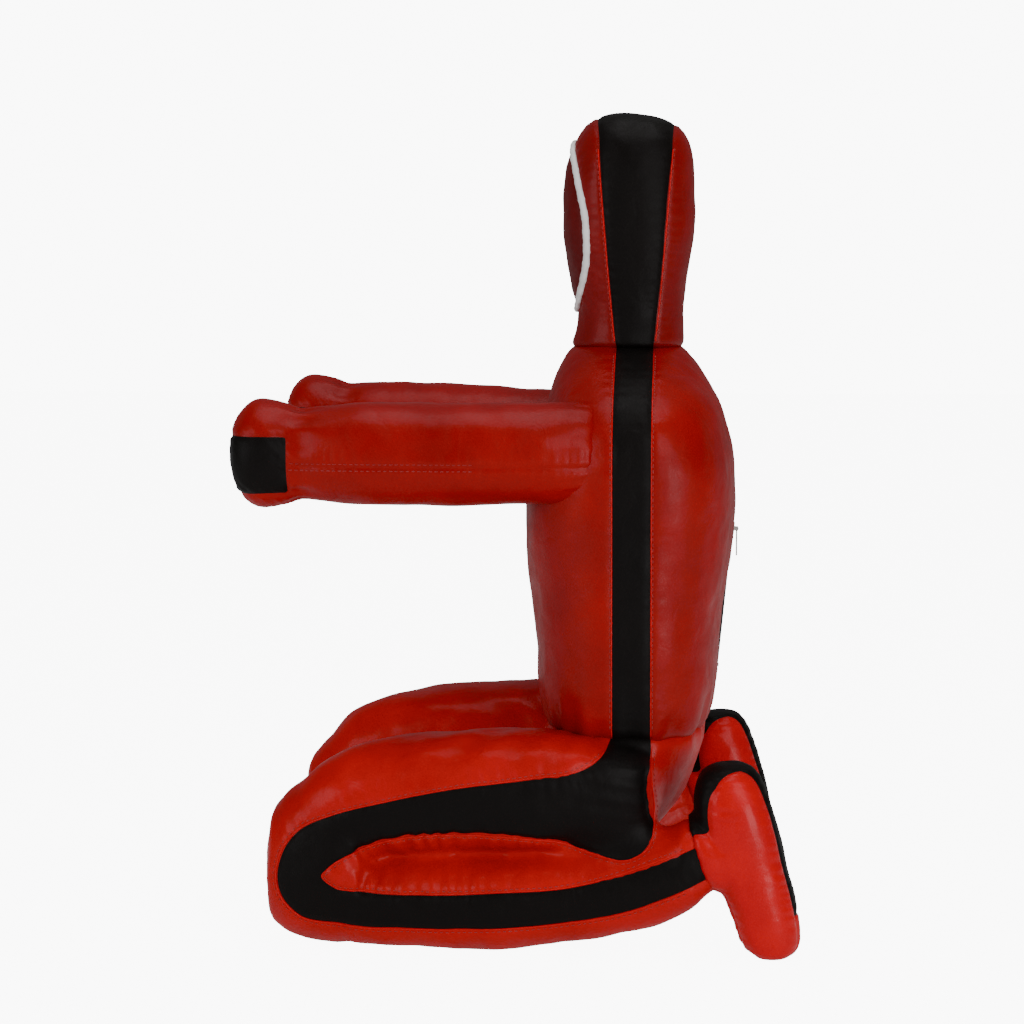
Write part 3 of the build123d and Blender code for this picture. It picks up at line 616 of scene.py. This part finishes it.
def tube_mesh(name, path, outs, radius, sides=14):
    """A closed tube along a closed path, flattened a little against what it lies on."""
    count = len(path)
    verts, faces = [], []
    for i, (point, out) in enumerate(zip(path, outs)):
        along = (path[(i + 1) % count] - path[i - 1]).normalized()
        across = along.cross(out).normalized()
        bulge = 1 + 0.07 * sin(i * 0.9) + 0.05 * sin(i * 2.3 + 1)
        for k in range(sides):
            turn = 2 * pi * k / sides
            verts.append(point + across * (cos(turn) * radius * bulge)
                         + out * (sin(turn) * radius * 0.85 * bulge))
    for i in range(count):
        n = (i + 1) % count
        for k in range(sides):
            m = (k + 1) % sides
            faces.append((i * sides + k, n * sides + k, n * sides + m, i * sides + m))
    mesh = bpy.data.meshes.new(name)
    mesh.from_pydata(verts, [], faces)
    mesh.polygons.foreach_set("use_smooth", [True] * len(mesh.polygons))
    piece = bpy.data.objects.new(name, mesh)
    bpy.context.scene.collection.objects.link(piece)
    return piece


# The piping lies on the face's seam all the way round.
path, outs = [], []
for turn in np.linspace(0, 2 * pi, 220, endpoint=False):
    rise = cos(turn)
    x = FACE_HALF * (0.97 + 0.07 * rise) * sin(turn)
    start = Vector((x, NECK.y - 0.3, FACE_Z + FACE_RISE * rise))
    hit, normal, _, _ = head.tree.ray_cast(start, Vector((0, 1, 0)))
    if hit is not None:
        path.append(hit + normal * 2.2 * MM)
        outs.append(normal)
for _ in range(12):
    path = [path[i - 1] * 0.25 + point * 0.5 + path[(i + 1) % len(path)] * 0.25
            for i, point in enumerate(path)]
piping = tube_mesh("head_piping", path, outs, 4.8 * MM)
piping.data.materials.append(LEATHERS["white_piping"])
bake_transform(piping)
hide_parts("head_face_piping")

# ---- torso --------------------------------------------------------------------------------------------
# z, front y, back y, half-width, power
TORSO_ROWS = [
    (245, 62, 205, 150, 2.6), (251, 40, 222, 168, 2.7), (258, 31, 229, 176, 2.7), (272, 25, 234, 181, 2.7),
    (300, 18, 241, 186, 2.7), (350, 16, 246, 192, 2.7), (400, 12, 250, 197, 2.7), (450, 7, 257, 202, 2.7),
    (500, 3, 262, 207, 2.7), (550, 5, 264, 212, 2.7), (590, 12, 262, 214, 2.6), (625, 21, 254, 206, 2.5),
    (655, 30, 244, 184, 2.4), (680, 37, 228, 148, 2.3), (700, 46, 214, 112, 2.2), (714, 54, 202, 84, 2.2),
    (721, 62, 195, 68, 2.2), (725, 78, 180, 50, 2.2),
]
torso_form = upright([(z * MM, f * MM, b * MM, h * MM, n) for z, f, b, h, n in TORSO_ROWS], 110)
ZIP_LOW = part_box("back_zip_bottom_stop")[0][2]
ZIP_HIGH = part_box("back_zip_top_stop")[1][2]
ZIP_HALF = 7.0 * MM
ZIP_SCALE = (ZIP_HIGH - ZIP_LOW) / 2 + 3 * MM
ZIP_Z = (ZIP_HIGH + ZIP_LOW) / 2


def zip_field(p):
    """Positive inside the slit of the slide fastener, in the back only."""
    inside = np.minimum(ZIP_HALF - np.abs(p[:, 0]), ZIP_SCALE - np.abs(p[:, 2] - ZIP_Z))
    return np.where(p[:, 1] > BAND_HIGH, inside, -0.05)


torso = Skin([torso_form], [level(1, BAND_LOW), level(1, BAND_HIGH), zip_field, level(0, 0.0)], seed=7.0)
torso.crumple(7, 4.0 * MM)
torso.crumple(19, 1.8 * MM, 4)
torso.crumple(46, 0.7 * MM, 9)
low_part = np.exp(-((torso.points[:, 2] - 0.262) / 0.035) ** 2)
turn = np.arctan2(torso.points[:, 0], torso.points[:, 1] - WAIST.y)
torso.push(1.8 * MM * low_part * np.sin(turn * 26 + 3 * np.sin(turn * 3)))
seam(torso, 0)
seam(torso, 1)
seam(torso, 2, depth=1.5 * MM, pucker=0.8 * MM)
torso.finish()


def in_torso(name, chosen, slot, *nodes):
    piece = torso.panel(name, chosen, slot, None)
    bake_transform(piece)
    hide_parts(*nodes)


in_torso("torso_front", lambda f, c: f[:, 0] < 0, "torso_leather", "torso_front_panel", "torso_fill")
in_torso("torso_back", lambda f, c: (f[:, 1] >= 0) & (f[:, 2] <= 0), "torso_leather", "torso_back_panel")
for side_name, sign in SIDES.items():
    in_torso(f"torso_{side_name}_band", lambda f, c, s=sign: (f[:, 0] >= 0) & (f[:, 1] < 0) & (c[:, 0] * s > 0),
             "black_leather", f"torso_{side_name}_side_band")

# ---- slide fastener: the CAD's own pieces, in finished materials ----------------------------------------
ZIP_FINISHES = {
    "zip_tape": woven("zip_tape", (0.025, 0.022, 0.022), 0.7 * MM),
    "zip_teeth": brushed("zip_teeth", (0.03, 0.03, 0.032), 0.0, 0.35),
    "zip_metal": brushed("zip_metal", (0.62, 0.6, 0.56), 1.0, 0.3),
}
for part in frame["record"]["subparts"]:
    if part["node"].startswith("back_zip"):
        shown = frame["nodes"][part["node"]]
        shown.data.materials.clear()
        shown.data.materials.append(ZIP_FINISHES[part["material_slot"]])

# ---- arms ---------------------------------------------------------------------------------------------
ARM_LENGTH = SHOULDER.y - ARM_TIP
PATCH_LENGTH = PATCH_BACK - ARM_TIP
PATCH_DROP = SHOULDER.z - PATCH_Z
PATCH_HALF = 35 * MM
SEAM_DROP = 11 * MM
ARM_SPLIT = 20 * MM     # the shoulder's piece ends here, in front of the shoulder's middle
ARM_RAISE = {"left": 0.0, "right": radians(3.0)}
# distance in front of the shoulder, how far inward, half-width, half-height
ARM_ROWS = [
    (-64, 26, 34, 40), (-60, 22, 48, 56), (-52, 15, 56, 62), (-40, 11, 58, 63), (-20, 7, 59, 62),
    (10, 3, 60, 61), (60, 0, 61, 61), (150, 0, 62, 62), (235, 0, 61, 61), (275, 0, 57, 57),
    (302, 0, 52, 54), (316, 0, 54, 60),
    (334, 0, 58, 64), (352, 0, 58, 64), (367, 0, 52, 55), (378, 0, 38, 40), (385, 0, 14, 16),
]
REACH = {"left": 1.0, "right": 0.972}    # the right arm is sewn a little shorter


def arm_skin(name, sign):
    rows = [(SHOULDER.y - s * REACH[name] * MM, sign * (SHOULDER.x - inward * MM), 2 * MM,
             half * MM, rise * MM, 2.15, 0.0) for s, inward, half, rise in ARM_ROWS]
    skin = Skin([lengthwise(rows, 90)], [
        lambda p: p[:, 2] + SEAM_DROP,
        lambda p: np.minimum(ARM_TIP + PATCH_LENGTH + 4 * MM - p[:, 1],
                             PATCH_HALF - np.abs(p[:, 2] + PATCH_DROP)),
        lambda p: SHOULDER.y - ARM_SPLIT - p[:, 1],
    ], seed=11.0 if sign > 0 else 17.0, voxel=3.6 * MM)
    skin.crumple(11, 2.6 * MM)
    skin.crumple(30, 1.3 * MM, 3)
    ring = np.exp(-((skin.points[:, 1] - (SHOULDER.y - 0.296)) / 0.02) ** 2)
    turn = np.arctan2(skin.points[:, 0] - sign * SHOULDER.x, skin.points[:, 2])
    skin.push(1.5 * MM * ring * np.sin(turn * 13 + 2 * np.sin(turn * 2)))
    root = np.exp(-((skin.points[:, 1] - (SHOULDER.y + 0.04)) / 0.02) ** 2)
    skin.push(0.5 * MM * root * np.sin(turn * 17 + 2 * np.sin(turn * 3)))
    off_patch = np.clip(-fields_of(skin, 1) / 0.004, 0, 1)
    seam(skin, 0, along=skin.points[:, 1], where=off_patch, pucker=0.9 * MM)
    seam(skin, 1, along=skin.points[:, 1] + skin.points[:, 2], pucker=0.8 * MM)
    raised = ARM_RAISE[name]
    y = skin.points[:, 1] - SHOULDER.y
    z = skin.points[:, 2].copy()
    skin.points[:, 1] = SHOULDER.y + y * cos(raised) + z * sin(raised)
    skin.points[:, 2] = SHOULDER.z - y * sin(raised) + z * cos(raised)
    skin.finish()
    return skin


for side_name, sign in SIDES.items():
    skin = arm_skin(side_name, sign)
    x = sign * SHOULDER.x
    nodes = {"shoulder_upper": [f"{side_name}_shoulder_cover"],
             "shoulder_lower": [f"{side_name}_shoulder_fill"],
             "arm_upper": [f"{side_name}_arm_upper_panel"], "arm_lower": [f"{side_name}_arm_lower_panel"],
             "hand_cover": [f"{side_name}_hand_patch", f"{side_name}_arm_fill"]}
    tests = {
        "shoulder_upper": lambda f, c: (f[:, 0] >= 0) & (f[:, 2] < 0),
        "shoulder_lower": lambda f, c: (f[:, 0] < 0) & (f[:, 2] < 0),
        "arm_upper": lambda f, c: (f[:, 0] >= 0) & (f[:, 2] >= 0) & (f[:, 1] <= 0),
        "arm_lower": lambda f, c: (f[:, 0] < 0) & (f[:, 2] >= 0) & (f[:, 1] <= 0),
        "hand_cover": lambda f, c: (f[:, 2] >= 0) & (f[:, 1] > 0),
    }
    for label, test in tests.items():
        slot = "black_leather" if label == "hand_cover" else "torso_leather"
        piece = skin.panel(f"{side_name}_{label}", test, slot, None)
        if label.startswith("shoulder"):
            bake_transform(piece)
        else:
            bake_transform(piece)
        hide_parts(*nodes[label])
    raised = ARM_RAISE[side_name]
    steps = np.linspace(85 * MM, ARM_LENGTH - PATCH_LENGTH - 4 * MM, 500)
    for mark, drop in (("over", -4.0 * MM), ("under", 4.0 * MM)):
        row = [(x, SHOULDER.y - s * cos(raised), SHOULDER.z + s * sin(raised) - SEAM_DROP - drop)
               for s in steps]
        stitches(f"{side_name}_arm_stitches_{mark}", skin.tree, row, [(sign, 0, 0)] * len(row), "red",
                 f"{side_name}_arm")

# ---- pelvis and legs ------------------------------------------------------------------------------------
LEG_X = 0.165
CROTCH_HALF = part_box("pelvis_front_panel")[1][0]
PELVIS_ROWS = [
    (112, 66, 138, 150, 2.4), (118, 52, 150, 164, 2.5), (140, 36, 180, 176, 2.6), (170, 28, 203, 180, 2.7),
    (205, 26, 218, 181, 2.7), (235, 28, 226, 178, 2.7), (250, 31, 228, 176, 2.7), (256, 37, 224, 171, 2.7),
    (261, 62, 206, 150, 2.6),
]
# y, x off the leg's middle, z, half-width, half-height
THIGH_ROWS = [
    (172, -14, 190, 40, 34), (160, -12, 188, 62, 50), (120, -8, 187, 73, 62), (60, -3, 192, 76, 70),
    (0, 0, 192, 77, 73), (-60, 0, 189, 76, 72), (-150, 0, 181, 74, 69), (-200, 0, 171, 70, 67),
    (-250, 0, 152, 60, 58), (-275, 0, 135, 46, 44), (-290, 0, 125, 24, 24),
]
KNEE_ROWS = [
    (-303, 0, 96, 26, 34), (-299, 0, 97, 42, 56), (-286, 0, 100, 56, 78), (-262, 0, 104, 67, 95),
    (-230, 0, 108, 72, 105), (-200, 0, 108, 72, 104), (-185, 0, 106, 66, 96), (-172, 0, 104, 50, 70),
]
SHIN_ROWS = [
    (-240, 0, 62, 50, 46), (-200, 0, 56, 64, 52), (-120, 0, 57, 68, 57), (0, 2, 59, 67, 59),
    (60, 8, 65, 63, 56), (117, 15, 72, 59, 54), (175, 22, 90, 53, 52), (208, 26, 110, 47, 48),
    (222, 26, 120, 44, 43),
    (236, 26, 123, 40, 40), (246, 26, 124, 24, 26),
]
ANKLE_LEAN = -0.33      # the ankle's seam leans with the foot
FAR_LEG_RISE = 8 * MM   # the right thigh is packed a little fuller


def leg_forms(sign):
    forms = []
    for rows, power in ((THIGH_ROWS, 2.35), (KNEE_ROWS, 2.3), (SHIN_ROWS, 2.35)):
        lean = ANKLE_LEAN if rows is SHIN_ROWS else 0.0
        fuller = FAR_LEG_RISE / 2 if rows is THIGH_ROWS and sign < 0 else 0.0
        forms.append(lengthwise([(y * MM, sign * (LEG_X + x * MM), z * MM + fuller, a * MM,
                                  b * MM + fuller, power, lean * min(max((y - 120) / 95, 0), 1))
                                 for y, x, z, a, b in rows], 60))
    return forms


# The stripe's edges in side view, from the waist round the knee to the ankle: y, z.
OUTER_EDGE = polyline([(y * MM, z * MM) for y, z in (
    (118, 285), (117, 262), (108, 243), (80, 226), (23, 217), (-70, 204), (-150, 187), (-215, 169),
    (-258, 148), (-281, 112), (-281, 74), (-258, 47), (-207, 36), (-110, 33), (4, 37), (70, 45), (125, 56),
    (180, 75), (245, 104),
)], 260)
INNER_EDGE = polyline([(y * MM, z * MM) for y, z in (
    (163, 285), (163, 250), (164, 205), (167, 170), (160, 132), (137, 119), (99, 123), (55, 138), (0, 145),
    (-72, 148), (-130, 143), (-185, 126), (-218, 108), (-228, 96), (-215, 84), (-170, 76), (-100, 74),
    (-15, 78), (61, 85), (119, 99), (180, 121), (245, 150),
)], 260)
MIDDLE_EDGE = (OUTER_EDGE + INNER_EDGE) / 2


def side_view(p):
    """Points as seen from the side: how far back and how high."""
    return np.stack([p[:, 1], p[:, 2]], axis=1)



lower = Skin([upright([(z * MM, f * MM, b * MM, h * MM, n) for z, f, b, h, n in PELVIS_ROWS], 50),
              *leg_forms(1), *leg_forms(-1)], [
    lambda p: beside(side_view(p), OUTER_EDGE)[0],
    lambda p: beside(side_view(p), INNER_EDGE)[0],
    lambda p: beside(side_view(p), MIDDLE_EDGE)[0],
    lambda p: np.abs(p[:, 0]) - LEG_X,
    lambda p: np.abs(p[:, 0]) - CROTCH_HALF,
    lambda p: p[:, 1] - (WAIST.y - 20 * MM),
], seed=23.0, smoothing=8)
flat = side_view(lower.points)
outer_along = beside(flat, OUTER_EDGE)[1]
inner_along = beside(flat, INNER_EDGE)[1]
middle_along = beside(flat, MIDDLE_EDGE)[1]
lateral = np.clip(fields_of(lower, 3) / 0.01 + 0.5, 0, 1)
# The leather is taut over the hip's lower corner, where the thigh and the shin meet.
across, back, height = np.abs(lower.points[:, 0]), lower.points[:, 1], lower.points[:, 2]
corner = np.clip((back - 0.03) / 0.04, 0, 1) * np.clip((0.225 - height) / 0.03, 0, 1)
corner *= np.clip((height - 0.095) / 0.02, 0, 1) * np.clip((0.2 - back) / 0.02, 0, 1)
lower.relax(corner * np.clip((across - 0.15) / 0.03, 0, 1), 160)
lower.crumple(8, 3.4 * MM)
lower.crumple(22, 1.6 * MM, 4)
lower.crumple(48, 0.7 * MM, 8)
# Gathers run out of the fold behind the knee, and folds hang over the hip.
knee_fold = np.exp(-((lower.points[:, 1] + 0.12) / 0.11) ** 2) * lateral
inner_away = fields_of(lower, 1)
lower.push(2.4 * MM * knee_fold * np.exp(-((inner_away - 0.010) / 0.017) ** 2)
           * np.sin(2 * pi * inner_along / 0.023 + 2.0 * np.sin(inner_along * 60)))
hip = np.exp(-((lower.points[:, 1] - 0.14) / 0.06) ** 2) * np.exp(-((lower.points[:, 2] - 0.215) / 0.04) ** 2)
lower.push(0.8 * MM * hip * np.sin(lower.points[:, 2] * 300 + lower.points[:, 1] * 60))
waist_part = np.exp(-((lower.points[:, 2] - 0.243) / 0.02) ** 2)
lower_turn = np.arctan2(lower.points[:, 0], lower.points[:, 1] - WAIST.y)
lower.push(1.2 * MM * waist_part * np.sin(lower_turn * 26 + 3 * np.sin(lower_turn * 3)))
seam(lower, 0, along=outer_along, where=lateral, pucker=1.0 * MM)
fold_part = np.clip((0.13 - lower.points[:, 1]) / 0.05, 0, 1)
seam(lower, 1, along=inner_along, where=lateral * (0.35 + 0.65 * fold_part), pucker=1.2 * MM, depth=2.8 * MM)
seam(lower, 2, along=middle_along, where=1 - lateral)
lower.points[:, 2] = np.maximum(lower.points[:, 2], 0.0)
lower.finish()


def in_lower(name, chosen, slot, *nodes):
    piece = lower.panel(name, chosen, slot, "legs")
    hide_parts(*nodes)


in_lower("pelvis_front", lambda f, c: (f[:, 4] < 0) & (f[:, 5] < 0), "leg_leather", "pelvis_front_panel")
in_lower("pelvis_seat", lambda f, c: (f[:, 4] < 0) & (f[:, 5] >= 0), "leg_leather",
         "pelvis_seat_panel", "pelvis_fill")
for side_name, sign in SIDES.items():
    def on_side(c, s=sign):
        return c[:, 0] * s > 0
    in_lower(f"{side_name}_leg_stripe",
             lambda f, c: on_side(c) & (f[:, 3] >= 0) & (f[:, 0] > 0) & (f[:, 1] <= 0), "black_leather",
             f"{side_name}_leg_side_stripe")
    in_lower(f"{side_name}_leg_front",
             lambda f, c: on_side(c) & (f[:, 4] >= 0) & np.where(f[:, 3] >= 0, f[:, 0] <= 0, f[:, 2] <= 0),
             "leg_leather", f"{side_name}_leg_front_panel", f"{side_name}_leg_fill")
    in_lower(f"{side_name}_leg_back",
             lambda f, c: on_side(c) & (f[:, 4] >= 0) & np.where(f[:, 3] >= 0, f[:, 1] > 0, f[:, 2] > 0),
             "leg_leather", f"{side_name}_leg_back_panel")


def offset_row(curve, distance, x):
    """Points beside a side-view curve, spaced finely, at a side."""
    runs = np.gradient(curve, axis=0)
    runs = runs / np.linalg.norm(runs, axis=1, keepdims=True)
    shifted = curve + np.stack([-runs[:, 1], runs[:, 0]], axis=1) * distance
    fine = smooth_rows([(*p, 0.0) for p in shifted], 1400)
    return [(x, p[0], p[1]) for p in fine if p[1] < 0.245 and p[0] < 0.205]


for side_name, sign in SIDES.items():
    for label, curve, distance in (("outer", OUTER_EDGE, -4.2 * MM), ("inner", INNER_EDGE, 4.2 * MM)):
        row = offset_row(curve, distance, sign * LEG_X)
        stitches(f"{side_name}_leg_stitches_{label}", lower.tree, row, [(sign, 0, 0)] * len(row), "red", "legs")

for side_name, sign in SIDES.items():
    for label, curve, distance in (("outer", OUTER_EDGE, -0.9 * MM), ("inner", INNER_EDGE, 0.9 * MM)):
        row = offset_row(curve, distance, sign * LEG_X)
        welt(f"{side_name}_leg_welt_{label}", lower.tree, row, [(sign, 0, 0)] * len(row), "legs")

# ---- feet ---------------------------------------------------------------------------------------------
# z, front y, back y, half-width, power
FOOT_ROWS = [
    (0, 297, 320, 22, 2.2), (2, 288, 331, 34, 2.3), (8, 277, 339, 43, 2.3), (20, 269, 342, 47, 2.4),
    (37, 264, 341, 48, 2.4), (59, 255, 338, 49, 2.4), (102, 236, 329, 50, 2.4), (146, 219, 319, 50, 2.4),
    (177, 214, 309, 49, 2.4), (205, 216, 299, 45, 2.3), (220, 223, 291, 37, 2.3), (228, 234, 282, 26, 2.2),
    (231, 248, 270, 12, 2.0),
]
# The ankle's end of the foot: y, z, half-width, half-height.
STUB_ROWS = [
    (219, 124, 30, 28), (221, 124, 43, 42), (226, 123, 47, 46), (245, 119, 48, 47), (280, 114, 46, 44),
    (298, 112, 28, 26),
]
STRIP_HALF = 24 * MM
HEEL_HALF = 41 * MM      # the strip is broad where it wraps the heel's front
FAR_FOOT_FORWARD = 9 * MM
SOLE_END_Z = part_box("left_foot_sole_strip")[0][2]


def foot_middle_y(z):
    return np.interp(z, [37 * MM, 190 * MM], [303 * MM, 262 * MM])


def strip_half(p):
    """Half-width of the strip round the foot: narrow down the sole, broad round the heel's front."""
    front = np.clip((foot_middle_y(p[:, 2]) + 8 * MM - p[:, 1]) / (30 * MM), 0, 1)
    high = np.clip((p[:, 2] - ANKLE.z) / (40 * MM), 0, 1)
    return STRIP_HALF + (HEEL_HALF - STRIP_HALF) * front * high


for side_name, sign in SIDES.items():
    x = sign * ANKLE.x
    verts, faces = upright([(z * MM, f * MM, b * MM, h * MM, n) for z, f, b, h, n in FOOT_ROWS], 60)
    verts = [(v[0] + x, v[1], v[2]) for v in verts]
    stub = lengthwise([(y * MM, x, z * MM, a * MM, b * MM, 2.2, ANKLE_LEAN) for y, z, a, b in STUB_ROWS], 40)
    foot = Skin([(verts, faces), stub], [
        lambda p: np.abs(p[:, 0] - x) - strip_half(p),
        lambda p: np.maximum(np.minimum(p[:, 1] - foot_middle_y(p[:, 2]), p[:, 2] - SOLE_END_Z),
                             p[:, 2] - ANKLE.z),
    ], seed=31.0 + sign, voxel=3.4 * MM)
    foot.crumple(14, 2.6 * MM)
    foot.crumple(40, 1.0 * MM, 3)
    seam(foot, 0, pucker=1.1 * MM)
    seam(foot, 1, pucker=0.6 * MM, where=(fields_of(foot, 0) < 0).astype(float), along=foot.points[:, 0])
    foot.points[:, 2] = np.maximum(foot.points[:, 2], 0.0)
    if sign < 0:
        foot.points[:, 1] -= FAR_FOOT_FORWARD
    foot.finish()
    body = f"{side_name}_foot"
    for label, slot, test in (
        ("lateral", "foot_leather", lambda f, c: (f[:, 0] >= 0) & ((c[:, 0] - x) * sign > 0)),
        ("medial", "foot_leather", lambda f, c: (f[:, 0] >= 0) & ((c[:, 0] - x) * sign < 0)),
        ("sole", "black_leather", lambda f, c: (f[:, 0] < 0) & (f[:, 1] > 0)),
        ("instep", "foot_leather", lambda f, c: (f[:, 0] < 0) & (f[:, 1] <= 0)),
    ):
        piece = foot.panel(f"{side_name}_foot_{label}", test, slot, body)
        nodes = {"lateral": ["lateral_panel"], "medial": ["medial_panel"], "sole": ["sole_strip"],
                 "instep": ["instep_strip", "fill"]}[label]
        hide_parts(*[f"{side_name}_foot_{n}" for n in nodes])

# ---- topstitching and turned edges of head and trunk ------------------------------------------------------
for side_name, sign in SIDES.items():
    for label, edge, way in (("front", BAND_LOW, -1), ("back", BAND_HIGH, 1)):
        heights = np.linspace(0.264, NECK_Z - 8 * MM, 1000)
        row = [(sign * 0.03, edge + way * 2.6 * MM, z) for z in heights]
        piece = stitches(f"torso_{side_name}_stitches_{label}", torso.tree, row, [(sign, 0, 0)] * len(row),
                         "red", None)
        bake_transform(piece)
        row = [(sign * 0.03, edge + way * 0.8 * MM, z) for z in np.linspace(0.258, NECK_Z - 6 * MM, 330)]
        piece = welt(f"torso_{side_name}_welt_{label}", torso.tree, row, [(sign, 0, 0)] * len(row), None)
        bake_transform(piece)
        heights = np.linspace(NECK_Z + 8 * MM, CROWN - 45 * MM, 600)
        row = [(sign * 0.01, BAND_Y + way * (band_half(z) + 2.6 * MM), z) for z in heights]
        piece = stitches(f"head_{side_name}_stitches_{label}", head.tree, row, [(sign, 0, 0)] * len(row), "red",
                         None)
        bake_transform(piece)
        row = [(sign * 0.01, BAND_Y + way * (band_half(z) + 0.8 * MM), z) for z in heights[::4]]
        piece = welt(f"head_{side_name}_welt_{label}", head.tree, row, [(sign, 0, 0)] * len(row), None)
        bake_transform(piece)

# ---- stage --------------------------------------------------------------------------------------------
def plane(name, size, z):
    mesh = bpy.data.meshes.new(name)
    corners = [(-size, -size, z), (size, -size, z), (size, size, z), (-size, size, z)]
    mesh.from_pydata(corners, [], [(0, 1, 2, 3)])
    made = bpy.data.objects.new(name, mesh)
    bpy.context.scene.collection.objects.link(made)
    return made


floor = plane("floor", 14.0, -0.0005)
floor_material, nodes, links, shader = material("floor")
shader.inputs["Base Color"].default_value = (0.8, 0.8, 0.8, 1)
shader.inputs["Roughness"].default_value = 0.8
shader.inputs["Emission Color"].default_value = (1, 1, 1, 1)
seen = nodes.new("ShaderNodeLightPath")
lit = node(nodes, "ShaderNodeMapRange", **{"To Min": 0.2, "To Max": 9.0})
links.new(seen.outputs["Is Camera Ray"], lit.inputs["Value"])
links.new(lit.outputs["Result"], shader.inputs["Emission Strength"])
floor.data.materials.append(floor_material)

world = bpy.data.worlds.new("studio")
bpy.context.scene.world = world
world.use_nodes = True
# The backdrop is white to look at, and dim as a light, so that the leather keeps its contrast.
sky = world.node_tree.nodes["Background"]
sky.inputs["Color"].default_value = (1, 1, 1, 1)
seen = world.node_tree.nodes.new("ShaderNodeLightPath")
strength = node(world.node_tree.nodes, "ShaderNodeMapRange", **{"To Min": 0.2, "To Max": 9.5})
world.node_tree.links.new(seen.outputs["Is Camera Ray"], strength.inputs["Value"])
world.node_tree.links.new(strength.outputs["Result"], sky.inputs["Strength"])


def soft_light(name, place, aim, size, power):
    """A large square studio light."""
    lamp = bpy.data.lights.new(name, "AREA")
    lamp.size = size
    lamp.energy = power
    made = bpy.data.objects.new(name, lamp)
    made.location = place
    made.rotation_euler = (Vector(aim) - Vector(place)).to_track_quat("-Z", "Y").to_euler()
    bpy.context.scene.collection.objects.link(made)


MIDDLE = (0.0, 0.0, 0.5)
soft_light("key", (2.6, 1.6, 1.8), MIDDLE, 1.6, 34)
soft_light("fill", (2.2, -2.4, 1.2), MIDDLE, 1.8, 34)
soft_light("top", (0.2, 0.2, 3.2), MIDDLE, 2.0, 34)
soft_light("low", (1.6, 1.4, 0.25), (0.0, 0.2, 0.15), 0.6, 10)

# ---- camera -------------------------------------------------------------------------------------------
CAMERA_TARGET = Vector((0.0, -0.016, 0.512))
CAMERA_TURN = radians(94.0)
CAMERA_RISE = radians(5.35)
CAMERA_DISTANCE = 3.26
camera_data = bpy.data.cameras.new("camera")
camera_data.lens = 90.8
camera_data.sensor_width = 36.0
camera = bpy.data.objects.new("camera", camera_data)
out = Vector((sin(CAMERA_TURN) * cos(CAMERA_RISE), -cos(CAMERA_TURN) * cos(CAMERA_RISE), sin(CAMERA_RISE)))
camera.location = CAMERA_TARGET + out * CAMERA_DISTANCE
camera.rotation_euler = (-out).to_track_quat("-Z", "Y").to_euler()
bpy.context.scene.collection.objects.link(camera)
bpy.context.scene.camera = camera
